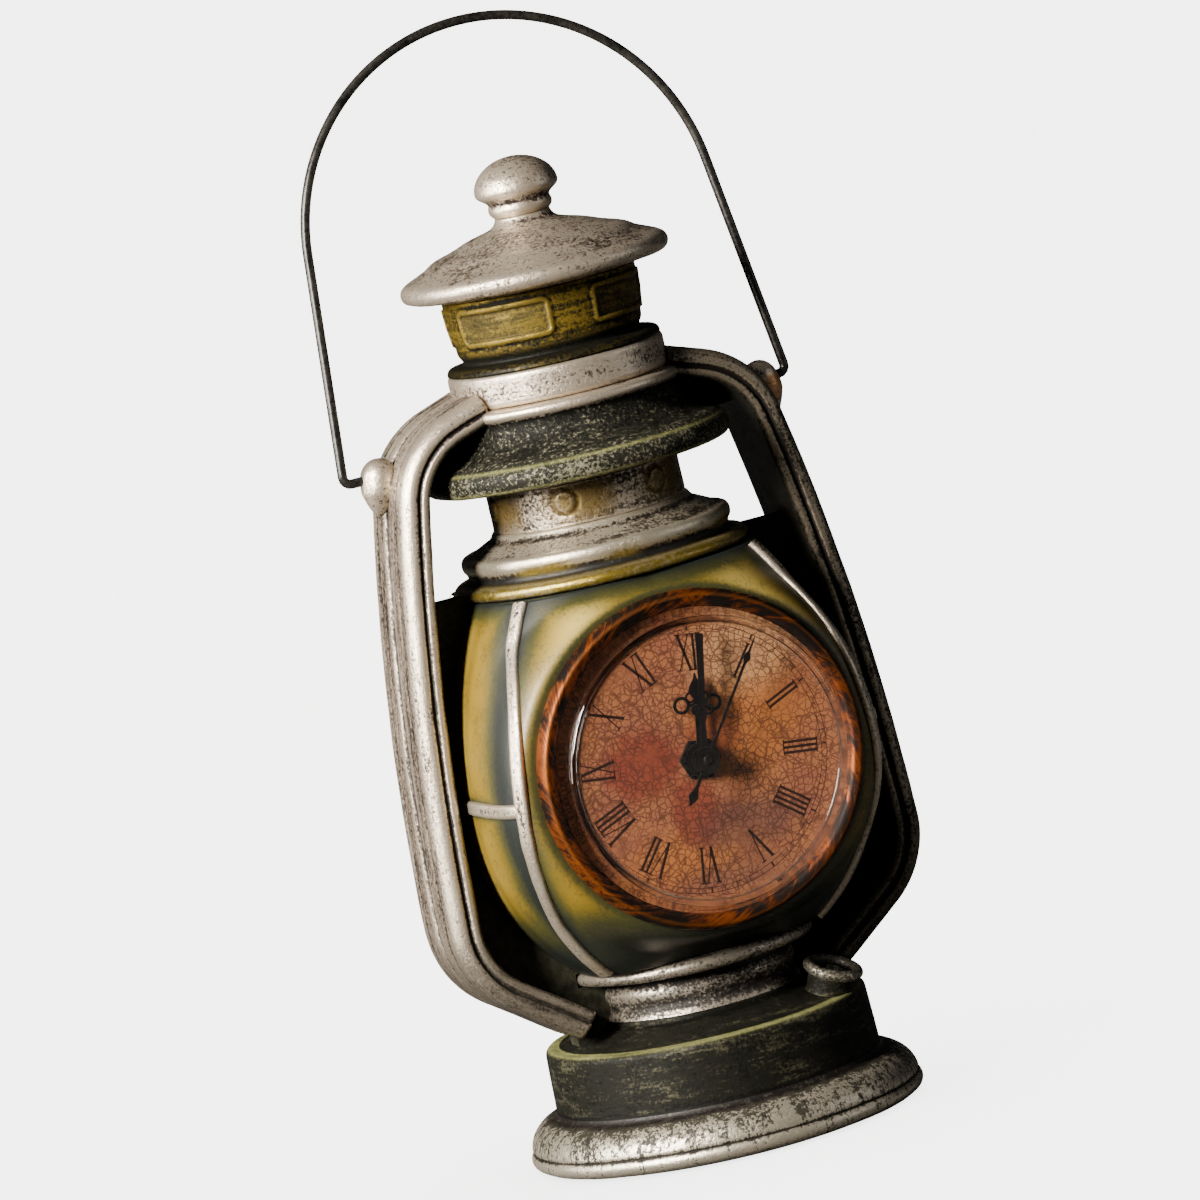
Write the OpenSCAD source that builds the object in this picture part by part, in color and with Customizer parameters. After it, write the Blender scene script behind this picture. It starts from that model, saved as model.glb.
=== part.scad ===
// Desk clock in the shape of a hurricane lantern: a hollow drum base on a rounded foot,
// a rounded square globe with wire guards, a ventilated chimney with hood and cap,
// two side tubes that carry a wire bail, and a push-in clock insert with its movement.
// Millimetres. The origin is the centre of the underside, +Z is up, the dial faces -Y.

/* [Base] */
// Radius of the foot at its widest
foot_r = 48.3; // [46:0.1:54]
// How far the foot's underside is drawn in from its widest line
foot_inset = 2; // [1:0.1:4]
// Height of the foot, up to the drum
foot_h = 12.7; // [10:0.1:16]
// Height of the plain lip round the bottom of the foot
foot_lip_h = 4.2; // [3:0.1:6]
// Radius of the drum where it meets the foot
drum_r = 39.9; // [37.5:0.1:42]
// How much the drum's radius shrinks towards its top
drum_taper = 0.5; // [0:0.1:2]
// Height of the drum
drum_h = 15.9; // [12:0.1:22]
// Height of the sloping shoulder on top of the drum
shoulder_h = 4.4; // [3:0.1:6]
// Wall of the hollow base
base_wall = 4; // [2.5:0.1:6]
// Thickness of the felt pad under the foot
felt_t = 1.6; // [1.2:0.1:3]
// Depth of the recess that holds the felt pad
felt_recess = 1; // [0.5:0.1:1.1]
// Width of the bare rim round the felt pad
felt_inset = 3.3; // [2.6:0.1:6]

/* [Filler cap] */
// Distance of the filler cap from the lantern's axis
filler_rho = 34.6; // [33:0.1:35]
// Direction of the filler cap, from the right-hand side towards the back
filler_angle = -40; // [-60:1:-39]
// How far the filler cap leans outwards
filler_tilt = 24; // [10:1:30]
// Height of the filler cap's underside above the drum's shoulder
filler_up = 4.8; // [4:0.1:6]
// Radius of the filler cap
filler_cap_r = 7.4; // [6.5:0.1:8]
// Thickness of the filler cap at its rim
filler_cap_t = 2.8; // [2:0.1:4]
// Radius of the spout that carries the filler cap
filler_neck_r = 5.6; // [4.5:0.1:6.2]

/* [Globe] */
// Radius of the burner neck between base and globe
neck_r = 24.4; // [22:0.1:27]
// Height of the burner neck
neck_h = 10; // [8:0.1:14]
// Radius of the plate that carries the globe
plate_r = 30.2; // [28:0.1:33]
// Thickness of the plate that carries the globe
plate_t = 3.5; // [2.5:0.1:5]
// Height of the globe
globe_h = 92.5; // [84:0.5:100]
// Half of the globe's greatest width, to left and right
globe_half_w = 48.5; // [46:0.1:49.5]
// Half of the globe's greatest depth, to front and back
globe_half_d = 42; // [41:0.1:46]
// Height of the widest level above the globe's lower end
globe_waist = 41.5; // [36:0.1:46]
// Squareness of the globe at its waist, 2 is an ellipse
globe_square = 4.5; // [3.5:0.1:6]
// Width of a guard wire on the globe's corners
guard_w = 2.6; // [2:0.1:4]
// Height of a guard wire above the glass
guard_t = 1.2; // [0.8:0.1:2]
// Height of the cross wires above the globe's lower end
guard_cross_h = 46.5; // [36:0.1:56]
// Direction of a guard wire at the globe's waist, from the side towards the front
guard_low_dir = 36.5; // [30:0.5:40]
// Direction of a guard wire at the globe's top, from the side towards the front
guard_top_dir = 41; // [36:0.5:45]

/* [Chimney] */
// Radius of the lip ring that sits on the globe
gallery_lip_r = 36; // [34:0.1:38]
// Radius of the upper ring of the gallery
gallery_ring_r = 33; // [30:0.1:34]
// Height of the gallery
gallery_h = 14; // [12:0.1:18]
// Radius of the chimney neck
chimney_r = 23.5; // [21.5:0.1:25]
// Height of the chimney neck
chimney_h = 9.9; // [7:0.1:14]
// Number of round studs on the chimney neck
stud_count = 6; // [4:1:10]
// Radius of a round stud
stud_r = 2.8; // [1.5:0.1:3.2]
// Height of the studs' centres above the foot of the chimney neck
stud_up = 5.8; // [4:0.1:6.4]
// Radius of the hood at its lip
hood_lip_r = 37.3; // [35:0.1:40]
// Radius of the light flange on top of the hood
hood_flange_r = 28.5; // [27.5:0.1:31]
// Height of the hood
hood_h = 20.6; // [18:0.1:25]
// Radius of the collar above the hood
collar_r = 26.3; // [25.2:0.1:27.5]
// Height of the collar
collar_h = 8.1; // [6:0.1:12]
// Radius of the vent band below the cap
vent_r = 23.6; // [22.5:0.1:25]
// Height of the vent band
vent_h = 17.6; // [15.5:0.1:22]
// Height of an embossed window in the vent band
window_h = 9.5; // [7:0.1:10.5]
// Width of an embossed window, as an angle
window_angle = 65; // [50:1:80]
// Radius of the cap at its brim
cap_r = 32.9; // [30:0.1:36]
// Height of the cap
cap_h = 16.8; // [14:0.1:20]
// Radius of the knob on the cap
knob_r = 10.3; // [8.5:0.1:12]
// Height of the knob above the cap
knob_h = 14; // [12.5:0.1:18]

/* [Side tubes and bail] */
// Thickness of a side tube, seen from the front
tube_t = 7.6; // [7:0.1:9]
// Depth of a side tube, from front to back
tube_d = 28; // [22:0.5:32]
// Radius of the beads along a side tube's edges
tube_bead_r = 1.7; // [1.2:0.1:2.2]
// Height of a side tube's top face where it leaves the collar
tube_top_z = 187.4; // [186.5:0.1:189]
// Slope of a side tube where it leaves the collar
tube_top_slope = 18; // [14:0.5:20]
// Gap between the globe's widest line and a side tube
tube_gap = 4.3; // [3.4:0.1:6]
// Outer radius of the upper bend
tube_bend_r = 24; // [22:0.5:26]
// Turn of the upper bend
tube_bend_a = 60.5; // [59:0.5:62]
// Outer radius of the long side sweep
tube_side_r = 571; // [500:1:650]
// Turn of the long side sweep
tube_side_a = 10.4; // [9.8:0.1:11]
// Outer radius of the lower bend
tube_foot_r = 25; // [23:0.5:28]
// Turn of the lower bend
tube_foot_a = 55; // [50:0.1:58]
// Thickness of the web between a side tube and the globe, from front to back
web_t = 6; // [3:0.1:10]
// Distance of each ear's centre outside the globe's widest line
ear_out = 0.4; // [-0.6:0.1:1.4]
// Height of the ears above the resting surface
ear_z = 173.5; // [171:0.1:176]
// Radius of an ear
ear_r = 4.7; // [4.3:0.1:5.4]
// Diameter of the bail's wire
bail_wire_d = 2.35; // [2:0.05:3]
// Mean gap between an ear and the bend at the bail's foot
bail_gap = 1.3; // [1.2:0.1:2.5]
// How far the whole bail sits to the left in its ears
bail_shift = 1; // [0:0.1:1]
// Height of the arch's centre above the ears
bail_rise = 49.3; // [44:0.1:60]
// Outward slope of the bail's legs
bail_splay = 6.2; // [4.5:0.1:7.5]
// Inner bend radius at the bail's feet, to the middle of the wire
bail_bend_r = 1.8; // [1.5:0.1:3]
// Length of each bail foot, inside the bend
bail_foot_l = 7; // [6:0.1:7.6]
// How far the bail leans back at rest
bail_lean = 7; // [0:0.5:20]
// Radial play of the bail's feet in the ears
bail_play = 0.08; // [0.02:0.01:0.1]

/* [Clock insert] */
// Radius of the bezel
bezel_r = 40.4; // [39.6:0.1:41.5]
// Height of the bezel in front of its seat
bezel_h = 5; // [4:0.1:7]
// Distance of the bezel's seat in front of the lantern's axis
seat_y = 41; // [39.5:0.1:43]
// Height of the dial's centre above the globe's lower end
dial_up = 47.9; // [46.5:0.1:49.5]
// How far the insert is turned in its seat, clockwise from the front
insert_turn = 7.5; // [0:0.5:10]
// Outer radius of the clear lens
lens_r = 36; // [34:0.1:36.4]
// Wall of the clear lens
lens_wall = 1.5; // [1:0.1:2]
// Height of the lens in front of the bezel's seat
lens_h = 9.8; // [9.4:0.1:11]
// How much the clear lens narrows towards its front
lens_draft = 1.6; // [0:0.1:2.5]
// Width of the flange that holds the lens under the bezel
lens_flange = 0.8; // [0.5:0.1:1]
// Wall of the insert's can
can_wall = 1; // [0.8:0.1:1.3]
// Depth of the insert's can behind the bezel's seat
can_depth = 14.9; // [14.9:0.1:16]
// Radial space between the can and its bore
gasket_t = 0.7; // [0.5:0.05:1]
// Length of the gasket along the can
gasket_h = 4.8; // [3:0.1:7]
// Radial play of the gasket in the bore
gasket_play = 0.08; // [0.02:0.01:0.1]
// Thickness of the dial plate
dial_t = 0.6; // [0.4:0.1:0.8]
// Distance of the dial's back from the bezel's seat, behind it
dial_sink = 0.3; // [0.2:0.1:0.8]
// Length of the hour hand from its axis
hour_hand_l = 20.5; // [16:0.5:24]
// Length of the minute hand from its axis
minute_hand_l = 29.5; // [24:0.5:30]
// Length of the second hand from its axis
second_hand_l = 31; // [26:0.5:31.5]
// Radius of the second hand's hub
second_hub_r = 3.1; // [2:0.1:3.6]
// Step between the levels of the hands
hand_step = 1.9; // [1:0.1:2]
// Thickness of a hand
hand_t = 0.35; // [0.2:0.05:0.4]
// Angle of the hour hand past twelve
hour_angle = 0.25; // [0:0.25:360]
// Angle of the minute hand past twelve
minute_angle = 3; // [0:0.5:360]
// Angle of the second hand past twelve
second_angle = 28; // [0:1:360]

/* [Movement] */
// Radius of the movement's case
case_r = 29; // [28.6:0.1:31]
// Radius of the heads of the screws that hold the case
screw_r = 1.5; // [1.2:0.1:1.8]
// Wall and plate thickness of the movement's case
case_t = 1; // [0.8:0.1:1]
// Thickness of a gear wheel
wheel_t = 0.6; // [0.4:0.05:0.7]
// Distance from the centre to the fifth wheel
fifth_dist = 9.3; // [9.2:0.02:9.6]
// Distance from the fifth wheel to the rotor
rotor_dist = 6; // [5.8:0.02:6.4]
// Distance from the centre to the third wheel
third_dist = 9; // [8.8:0.02:9.4]
// Distance from the centre to the setting wheel
setting_dist = 9.6; // [9.4:0.02:10]
// Radial play of pivots and pipes
pivot_play = 0.05; // [0.02:0.01:0.08]
// Radius of the button cell
cell_r = 5.8; // [5:0.1:6]
// Thickness of the button cell
cell_t = 4.8; // [4:0.1:5.4]
// Radius of the setting knob
knob_set_r = 4.6; // [3.5:0.1:5]

/* [Hidden] */
$fn = 96;
big = 400;

// Heights of the joints between the stacked pieces
foot_z = felt_t - felt_recess;
foot_under_r = foot_r - foot_inset;
felt_r = foot_under_r - felt_inset;
drum_z = foot_h;
shoulder_z = drum_z + drum_h;
neck_z = shoulder_z + shoulder_h;
plate_z = neck_z + neck_h;
globe_z = plate_z + plate_t;
gallery_z = globe_z + globe_h;
chimney_z = gallery_z + gallery_h;
hood_z = chimney_z + chimney_h;
collar_z = hood_z + hood_h;
vent_z = collar_z + collar_h;
cap_z = vent_z + vent_h;
knob_z = cap_z + cap_h;

// Spigots that centre each piece on the next, and their play in the socket
spigot_r = 15;
spigot_h = 3;
spigot_play = 0.1;
cap_spigot_r = 4.5;

dial_z = globe_z + dial_up;
can_in_r = lens_r + lens_flange + 0.1;
can_r = can_in_r + can_wall;
bore_r = can_r + gasket_t;
bore_depth = can_depth + 2.6;
seat_r = bezel_r + 0.6;

// Levels inside the insert, along its axis from the bezel's seat towards the viewer
dial_back = -dial_sink;
dial_front = dial_back + dial_t;
plate_front = dial_back;
plate_back = plate_front - case_t;
case_back = case_t - can_depth;
hour_wheel_l = plate_back - 1.3;
motion_l = hour_wheel_l - 1.4;
centre_l = motion_l - 1.2;
third_l = centre_l - 1.6;
second_l = third_l - 1.6;
fifth_l = second_l - 1.3;
hour_hand_l0 = dial_front + 1.9;
minute_hand_l0 = hour_hand_l0 + hand_step;
second_hand_l0 = minute_hand_l0 + hand_step;
flange_front = dial_front + 1.3;

// Radii of the nested pipes at the dial's centre
second_arbor_r = 0.55;
cannon_bore_r = second_arbor_r + pivot_play;
cannon_pipe_r = 1.6;
hour_bore_r = cannon_pipe_r + pivot_play;
hour_pipe_r = 2.35;
bush_bore_r = hour_pipe_r + pivot_play;
bush_r = 3.4;
pivot_r = 0.35;
arbor_r = 0.7;

// Tooth counts of the train, driver and driven wheel of each pair
rotor_teeth = 8;
fifth_teeth = 40;
fifth_pinion_teeth = 8;
second_teeth = 48;
second_pinion_teeth = 8;
third_teeth = 64;
third_pinion_teeth = 8;
centre_teeth = 60;
cannon_teeth = 12;
setting_teeth = 36;
setting_pinion_teeth = 10;
hour_teeth = 40;

// Directions of the wheels round the dial's centre, seen from the front
fifth_dir = 20;
rotor_dir = 60;
third_dir = 200;
setting_dir = 290;

function polar(r, a) = [r * cos(a), r * sin(a)];
fifth_at = polar(fifth_dist, fifth_dir);
rotor_at = fifth_at + polar(rotor_dist, rotor_dir);
third_at = polar(third_dist, third_dir);
setting_at = polar(setting_dist, setting_dir);
cell_at = [-12, -18.6];
coil_at = [5, 19.5];
board_at = [16.5, -9];

function pair_module(distance, z1, z2) = 2 * distance / (z1 + z2);
rotor_m = pair_module(rotor_dist, rotor_teeth, fifth_teeth);
fifth_m = pair_module(fifth_dist, fifth_pinion_teeth, second_teeth);
second_m = pair_module(third_dist, second_pinion_teeth, third_teeth);
third_m = pair_module(third_dist, third_pinion_teeth, centre_teeth);
cannon_m = pair_module(setting_dist, cannon_teeth, setting_teeth);
setting_m = pair_module(setting_dist, setting_pinion_teeth, hour_teeth);

// Turn of a driven gear that puts one of its gaps on the driver's tooth
function mesh_turn(z1, turn1, z2, dir) =
    dir + 180 + 180 / z2 + (dir - turn1) * z1 / z2;
fifth_pinion_turn = mesh_turn(second_teeth, 0, fifth_pinion_teeth, fifth_dir);
rotor_turn = mesh_turn(fifth_teeth, 0, rotor_teeth, rotor_dir);
third_turn = mesh_turn(second_pinion_teeth, 0, third_teeth, third_dir);
centre_turn = mesh_turn(third_pinion_teeth, 0, centre_teeth, third_dir + 180);
setting_turn = mesh_turn(cannon_teeth, 0, setting_teeth, setting_dir);
hour_turn = mesh_turn(setting_pinion_teeth, 0, hour_teeth, setting_dir + 180);

silver = [0.80, 0.76, 0.70];
dark_silver = [0.55, 0.52, 0.47];
olive = [0.23, 0.23, 0.18];
gold = [0.72, 0.62, 0.32];
copper = [0.62, 0.32, 0.14];
brass = [0.80, 0.66, 0.36];

// Points of an elliptic arc about [cx, cy], from angle a0 to a1
function arc(cx, cy, rx, ry, a0, a1, n = 10) =
    [for (i = [0 : n]) let (a = a0 + (a1 - a0) * i / n) [cx + rx * cos(a), cy + ry * sin(a)]];

// A solid of revolution from its outer profile, closed along the axis
module turned(profile) {
    first = profile[0];
    last = profile[len(profile) - 1];
    rotate_extrude()
        polygon(concat([[0, first[1]]], profile, [[0, last[1]]]));
}

module ring(r_out, r_in, z0, z1) {
    translate([0, 0, z0]) difference() {
        cylinder(r = r_out, h = z1 - z0);
        translate([0, 0, -1]) cylinder(r = r_in, h = z1 - z0 + 2);
    }
}

module spigot(z, r = spigot_r) {
    translate([0, 0, z - 0.5]) cylinder(r = r, h = spigot_h + 0.5);
}

module socket(z, r = spigot_r) {
    translate([0, 0, z - 1])
        cylinder(r = r + spigot_play, h = spigot_h + spigot_play + 1);
}

module on_right(right) {
    mirror([right ? 0 : 1, 0, 0]) children();
}

// Base and foot

foot_bevel_w = foot_r - 0.6 - drum_r;

function base_profile() = concat(
    [[foot_under_r, foot_z]],
    arc(foot_r - 2, foot_z + 2.4, 2, 2.2, -50, 60, 8),
    [[foot_r - 0.9, foot_lip_h]],
    arc(drum_r, foot_lip_h + 0.3, foot_bevel_w, foot_h - foot_lip_h - 0.9, 4, 82, 12),
    [[drum_r + 0.35, foot_h - 0.1], [drum_r, foot_h + 0.8]],
    arc(drum_r - drum_taper - 1.6, shoulder_z - 1.6, 1.6, 1.6, 0, 72, 8),
    arc(neck_r + 3.4, neck_z + 0.9, 2.6, 2.2, 255, 180, 5),
    [[neck_r + 0.6, neck_z]]);

module filler_place() {
    rotate([0, 0, filler_angle]) translate([filler_rho, 0, shoulder_z + filler_up])
        rotate([0, filler_tilt, 0]) children();
}

module base() {
    cavity_r = drum_r - drum_taper - base_wall;
    color(olive) difference() {
        union() {
            turned(base_profile());
            spigot(neck_z);
            filler_place() translate([0, 0, -filler_up - 1]) cylinder(r = filler_neck_r, h = filler_up + 1);
        }
        translate([0, 0, -1]) cylinder(r = cavity_r, h = shoulder_z - base_wall + 1);
        translate([0, 0, -1]) cylinder(r = felt_r + 0.4, h = 1 + felt_t);
    }
}

module felt_pad() {
    color([0.12, 0.12, 0.12]) cylinder(r = felt_r, h = felt_t);
}

module filler_cap() {
    rim = 1.3;
    color(dark_silver) filler_place()
        turned(concat(
            [[filler_cap_r - 0.8, 0]],
            arc(filler_cap_r - rim, filler_cap_t / 2, rim, filler_cap_t / 2, -60, 180, 14),
            [[filler_cap_r - 2 * rim - 0.3, filler_cap_t * 0.38],
                [filler_cap_r * 0.35, filler_cap_t * 0.38],
                [filler_cap_r * 0.3, filler_cap_t * 0.55]]));
}

module burner_neck() {
    color(silver) difference() {
        union() {
            turned(concat(
                [[neck_r + 0.6, neck_z], [neck_r + 0.1, neck_z + 1.4], [neck_r - 0.5, neck_z + 2.6]],
                arc(neck_r - 1.2, neck_z + neck_h * 0.62, 1.2, neck_h * 0.22, -60, 60, 6),
                [[neck_r - 1, plate_z - 0.9], [plate_r - 1.8, plate_z]],
                arc(plate_r - 1.7, plate_z + plate_t / 2, 1.7, plate_t / 2, -80, 80, 10),
                [[plate_r - 2.6, globe_z]]));
            spigot(globe_z);
        }
        socket(neck_z);
    }
}

// Globe: rings of a rounded square that grows and shrinks along a half ellipse

boss_h = 11;
globe_top_reach = 73;
globe_top_reach_d = 85;
globe_low_reach = 52;
globe_rings = 22;
globe_sides = 48;

function bulge(z, reach) = sqrt(1 - pow(z / reach, 2));
function globe_w(z) =
    globe_half_w * bulge(z - globe_waist, z > globe_waist ? globe_top_reach : globe_low_reach);
function globe_d(z) =
    globe_half_d * bulge(z - globe_waist, z > globe_waist ? globe_top_reach_d : globe_low_reach);
function globe_power(z) =
    globe_square - (z > globe_waist ? 0.9 : 0.5) * pow((z - globe_waist) / globe_waist, 2);
// Distance from the axis to the globe's surface at a height and in a direction
function globe_reach(z, a) =
    let (n = globe_power(z))
    pow(pow(abs(cos(a)) / globe_w(z), n) + pow(abs(sin(a)) / globe_d(z), n), -1 / n);
// Levels are closer together near both ends, where the outline turns fastest
function globe_level(i) = globe_h * (1 - cos(180 * i / globe_rings)) / 2;

// A skin through equal rings of points, closed by a flat face or a point at each end
module lofted(rings, tips = []) {
    n = len(rings[0]);
    last = len(rings) - 1;
    tip = n * len(rings);
    sides = [for (i = [0 : last - 1], k = [0 : n - 1])
        let (a = i * n + k, b = i * n + (k + 1) % n) each [[a, b + n, b], [a, a + n, b + n]]];
    flat = [[for (k = [0 : n - 1]) k], [for (k = [n - 1 : -1 : 0]) last * n + k]];
    pointed = [for (k = [0 : n - 1]) let (b = (k + 1) % n)
        each [[k, b, tip], [last * n + b, last * n + k, tip + 1]]];
    polyhedron(concat([for (r = rings) each r], tips), concat(sides, len(tips) == 2 ? pointed : flat));
}

module globe_body() {
    translate([0, 0, globe_z])
        lofted([for (i = [0 : globe_rings])
            let (z = globe_level(i))
            [for (k = [0 : globe_sides - 1])
                let (a = k * 360 / globe_sides, r = globe_reach(z, a)) [r * cos(a), r * sin(a), z]]]);
}

// Places children on the dial's axis with +Z towards the viewer, from the bezel's seat
module at_seat() {
    translate([0, -seat_y, dial_z]) rotate([90, 0, 0]) children();
}

module globe() {
    color(gold) difference() {
        union() {
            globe_body();
            at_seat() translate([0, 0, -boss_h])
                cylinder(r1 = seat_r + boss_h * 0.26, r2 = seat_r, h = boss_h);
        }
        at_seat() translate([0, 0, -bore_depth]) cylinder(r = bore_r, h = bore_depth + 1);
        at_seat() cylinder(r = seat_r + 1, h = 20);
        socket(globe_z);
        translate([0, 0, gallery_z - spigot_h - spigot_play])
            cylinder(r = spigot_r + spigot_play, h = big);
    }
}

guard_gap = 0.15;
// Direction of a guard wire at a height above the globe's lower end
function guard_dir(z) = guard_low_dir + (guard_top_dir - guard_low_dir)
    * pow(max(0, z - globe_waist) / (globe_h - globe_waist), 2);

// Ring of points round a guard wire, half sunk ends kept off the glass
function guard_section(z, a, w, t) =
    let (r = globe_reach(z, a) + guard_gap, h = w / 2, s = h * 0.55)
    [for (p = [[0, -h], [t * 0.6, -h], [t, -s], [t, s], [t * 0.6, h], [0, h]])
        let (da = p[1] / r * 57.3, q = r + p[0]) [q * cos(a + da), q * sin(a + da), z]];

module guard_wire(front) {
    inset = 1.2;
    translate([0, 0, globe_z]) mirror([0, front ? 1 : 0, 0])
        lofted([for (i = [0 : globe_rings])
            let (z = max(inset, min(globe_h - 0.3, globe_level(i))))
            guard_section(z, guard_dir(z), guard_w, guard_t)]);
}

module guard_cross() {
    z0 = guard_cross_h - guard_w / 2;
    steps = 12;
    reach = guard_dir(guard_cross_h);
    translate([0, 0, globe_z])
        lofted([for (i = [0 : steps])
            let (a = reach * (2 * i / steps - 1))
            [for (p = [[0, 1], [0.65, 1], [1, 0.75], [1, 0.25], [0.65, 0], [0, 0]])
                let (z = z0 + p[1] * guard_w,
                     q = globe_reach(guard_cross_h, a) + guard_gap + 0.1 + p[0] * (guard_t - 0.2))
                [q * cos(a), q * sin(a), z]]]);
}

module guard(right) {
    color(silver) on_right(right) {
        guard_wire(true);
        guard_wire(false);
        guard_cross();
    }
}

module left_guard() { guard(false); }
module right_guard() { guard(true); }

// Chimney stack

module gallery() {
    lip_h = 3.2;
    ring_z = gallery_z + 5.5;
    ring_h = 4;
    color(silver) difference() {
        union() {
            turned(concat(
                [[gallery_lip_r - 1.6, gallery_z]],
                arc(gallery_lip_r - 1.5, gallery_z + lip_h / 2, 1.5, lip_h / 2, -75, 80, 8),
                [[gallery_ring_r - 0.9, gallery_z + lip_h + 0.5],
                    [gallery_ring_r - 0.9, ring_z - 0.4]],
                arc(gallery_ring_r - 1.2, ring_z + ring_h / 2, 1.2, ring_h / 2, -75, 75, 8),
                [[gallery_ring_r - 2.6, ring_z + ring_h + 0.3]],
                arc(chimney_r + 3.2, chimney_z + 0.4, 2.6, 2.6, 262, 195, 5),
                [[chimney_r + 0.4, chimney_z]]));
            spigot(chimney_z);
            translate([0, 0, gallery_z - spigot_h]) cylinder(r = spigot_r, h = spigot_h + 1);
        }
    }
}

module chimney_neck() {
    stud_z = chimney_z + stud_up;
    color(dark_silver) difference() {
        union() {
            translate([0, 0, chimney_z]) cylinder(r = chimney_r, h = chimney_h);
            spigot(hood_z);
            for (i = [0 : stud_count - 1])
                rotate([0, 0, 360 * (i + 0.5) / stud_count - 90])
                    translate([chimney_r - 1.5, 0, stud_z]) rotate([0, 90, 0]) {
                        cylinder(r = stud_r, h = 2);
                        cylinder(r = stud_r - 0.6, h = 2.4);
                    }
        }
        socket(chimney_z);
    }
}

function hood_profile() = concat(
    [[chimney_r + 1, hood_z + 0.2], [hood_lip_r - 2.4, hood_z + 1.2]],
    arc(hood_lip_r - 1.7, hood_z + 4.3, 1.7, 2.9, -70, 65, 8),
    [[hood_lip_r - 1.4, hood_z + 7.3]],
    arc(hood_lip_r - 0.8, collar_z - 4.2, hood_lip_r - hood_flange_r + 0.8, hood_h - 12.6, 258, 184, 9),
    [[hood_flange_r - 1.5, collar_z - 3.4]],
    arc(hood_flange_r - 1.3, collar_z - 1.75, 1.3, 1.45, -60, 80, 8),
    [[collar_r - 0.8, collar_z]]);

module hood() {
    color(olive) difference() {
        union() {
            turned(concat([[chimney_r + 0.9, hood_z]], hood_profile()));
            spigot(collar_z);
        }
        socket(hood_z);
    }
}

module collar() {
    color(silver) difference() {
        union() {
            turned(concat(
                [[collar_r - 0.7, collar_z], [collar_r, collar_z + 0.8]],
                arc(collar_r - 1.1, vent_z - 1.1, 1.1, 1.1, 0, 80, 6),
                [[collar_r - 1.6, vent_z]]));
            spigot(vent_z);
        }
        socket(collar_z);
    }
}

module vent_sector(r_out, r_in, z0, z1, angle) {
    rotate([0, 0, -angle / 2]) rotate_extrude(angle = angle)
        translate([r_in, z0]) square([r_out - r_in, z1 - z0]);
}

// A bowl on a rounded shoulder, with four raised frames round flush panels
module vent_band() {
    mid = cap_z - 1.6 - window_h / 2;
    frame = 1.2;
    frame_angle = frame / vent_r * 57.3;
    windows = [45, 135, 225, 315];
    color(olive) difference() {
        union() {
            turned(concat(
                [[collar_r - 0.3, vent_z]],
                arc(collar_r - 1.9, vent_z + 0.3, 1.6, 1.6, -5, 70, 6),
                [[vent_r - 2.1, vent_z + 2.2]],
                arc(vent_r - 3.6, vent_z + 5.4, 2.6, 3, -50, 5, 5),
                [[vent_r - 0.6, vent_z + 8.6], [vent_r - 0.2, vent_z + 11.6], [vent_r, cap_z - 1.2],
                    [vent_r, cap_z]]));
            spigot(cap_z);
            for (a = windows) rotate([0, 0, a - 90])
                vent_sector(vent_r + 0.5, vent_r - 3, mid - window_h / 2, mid + window_h / 2,
                    window_angle);
        }
        for (a = windows) rotate([0, 0, a - 90])
            vent_sector(vent_r + 2, vent_r - 0.3, mid - window_h / 2 + frame,
                mid + window_h / 2 - frame, window_angle - 2 * frame_angle);
        socket(vent_z);
    }
}

module cap() {
    rim_h = 5;
    step_r = cap_r * 0.73;
    color(silver) difference() {
        turned(concat(
            [[vent_r - 0.3, cap_z], [cap_r - 2.6, cap_z + 1.1]],
            arc(cap_r - 2.2, cap_z + 1.1 + rim_h / 2, 2.2, rim_h / 2, -80, 62, 10),
            [[step_r + 1.4, cap_z + 8.6]],
            arc(step_r, cap_z + 9.3, 1, 0.9, -30, 100, 5),
            arc(step_r * 0.12, cap_z + 5.4, step_r * 0.84, 9.2, 32, 62, 6),
            arc(knob_r * 0.66 + 3.4, knob_z, 3.4, 2.6, 250, 190, 5),
            [[knob_r * 0.66, knob_z]]));
        socket(cap_z);
        translate([0, 0, knob_z - 4]) cylinder(r = cap_spigot_r + spigot_play, h = big);
    }
}

module cap_knob() {
    ball_z = knob_z + 6.2;
    color(silver) {
        turned(concat(
            [[knob_r * 0.66, knob_z]],
            arc(knob_r * 0.78, knob_z + 1.9, 0.9, 1.5, -80, 70, 6),
            arc(0, ball_z, knob_r, 3.4, -32, 0, 5),
            arc(0, ball_z, knob_r, knob_z + knob_h - ball_z, 6, 86, 14)));
        translate([0, 0, knob_z - 3.6]) cylinder(r = cap_spigot_r, h = 4);
    }
}

// A path of straight lengths and bends in the XZ plane, each tangent to the last.
// A link is ["line", length] or ["bend", radius, angle, steps], and bends turn to the right.
// A station is [x, z, heading].

function line_end(at, l) = [at[0] + l * cos(at[2]), at[1] + l * sin(at[2]), at[2]];
function bend_end(at, r, a) =
    let (h = at[2], g = h - a) [at[0] + r * (sin(h) - sin(g)), at[1] + r * (cos(g) - cos(h)), g];
function link_stations(at, link) =
    link[0] == "line"
        ? [line_end(at, link[1])]
        : [for (i = [1 : link[3]]) bend_end(at, link[1], link[2] * i / link[3])];
function stations(at, links, i = 0) =
    i == len(links)
        ? [at]
        : let (more = link_stations(at, links[i]))
          concat([at], [for (k = [0 : 1 : len(more) - 2]) more[k]],
              stations(more[len(more) - 1], links, i + 1));

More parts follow.
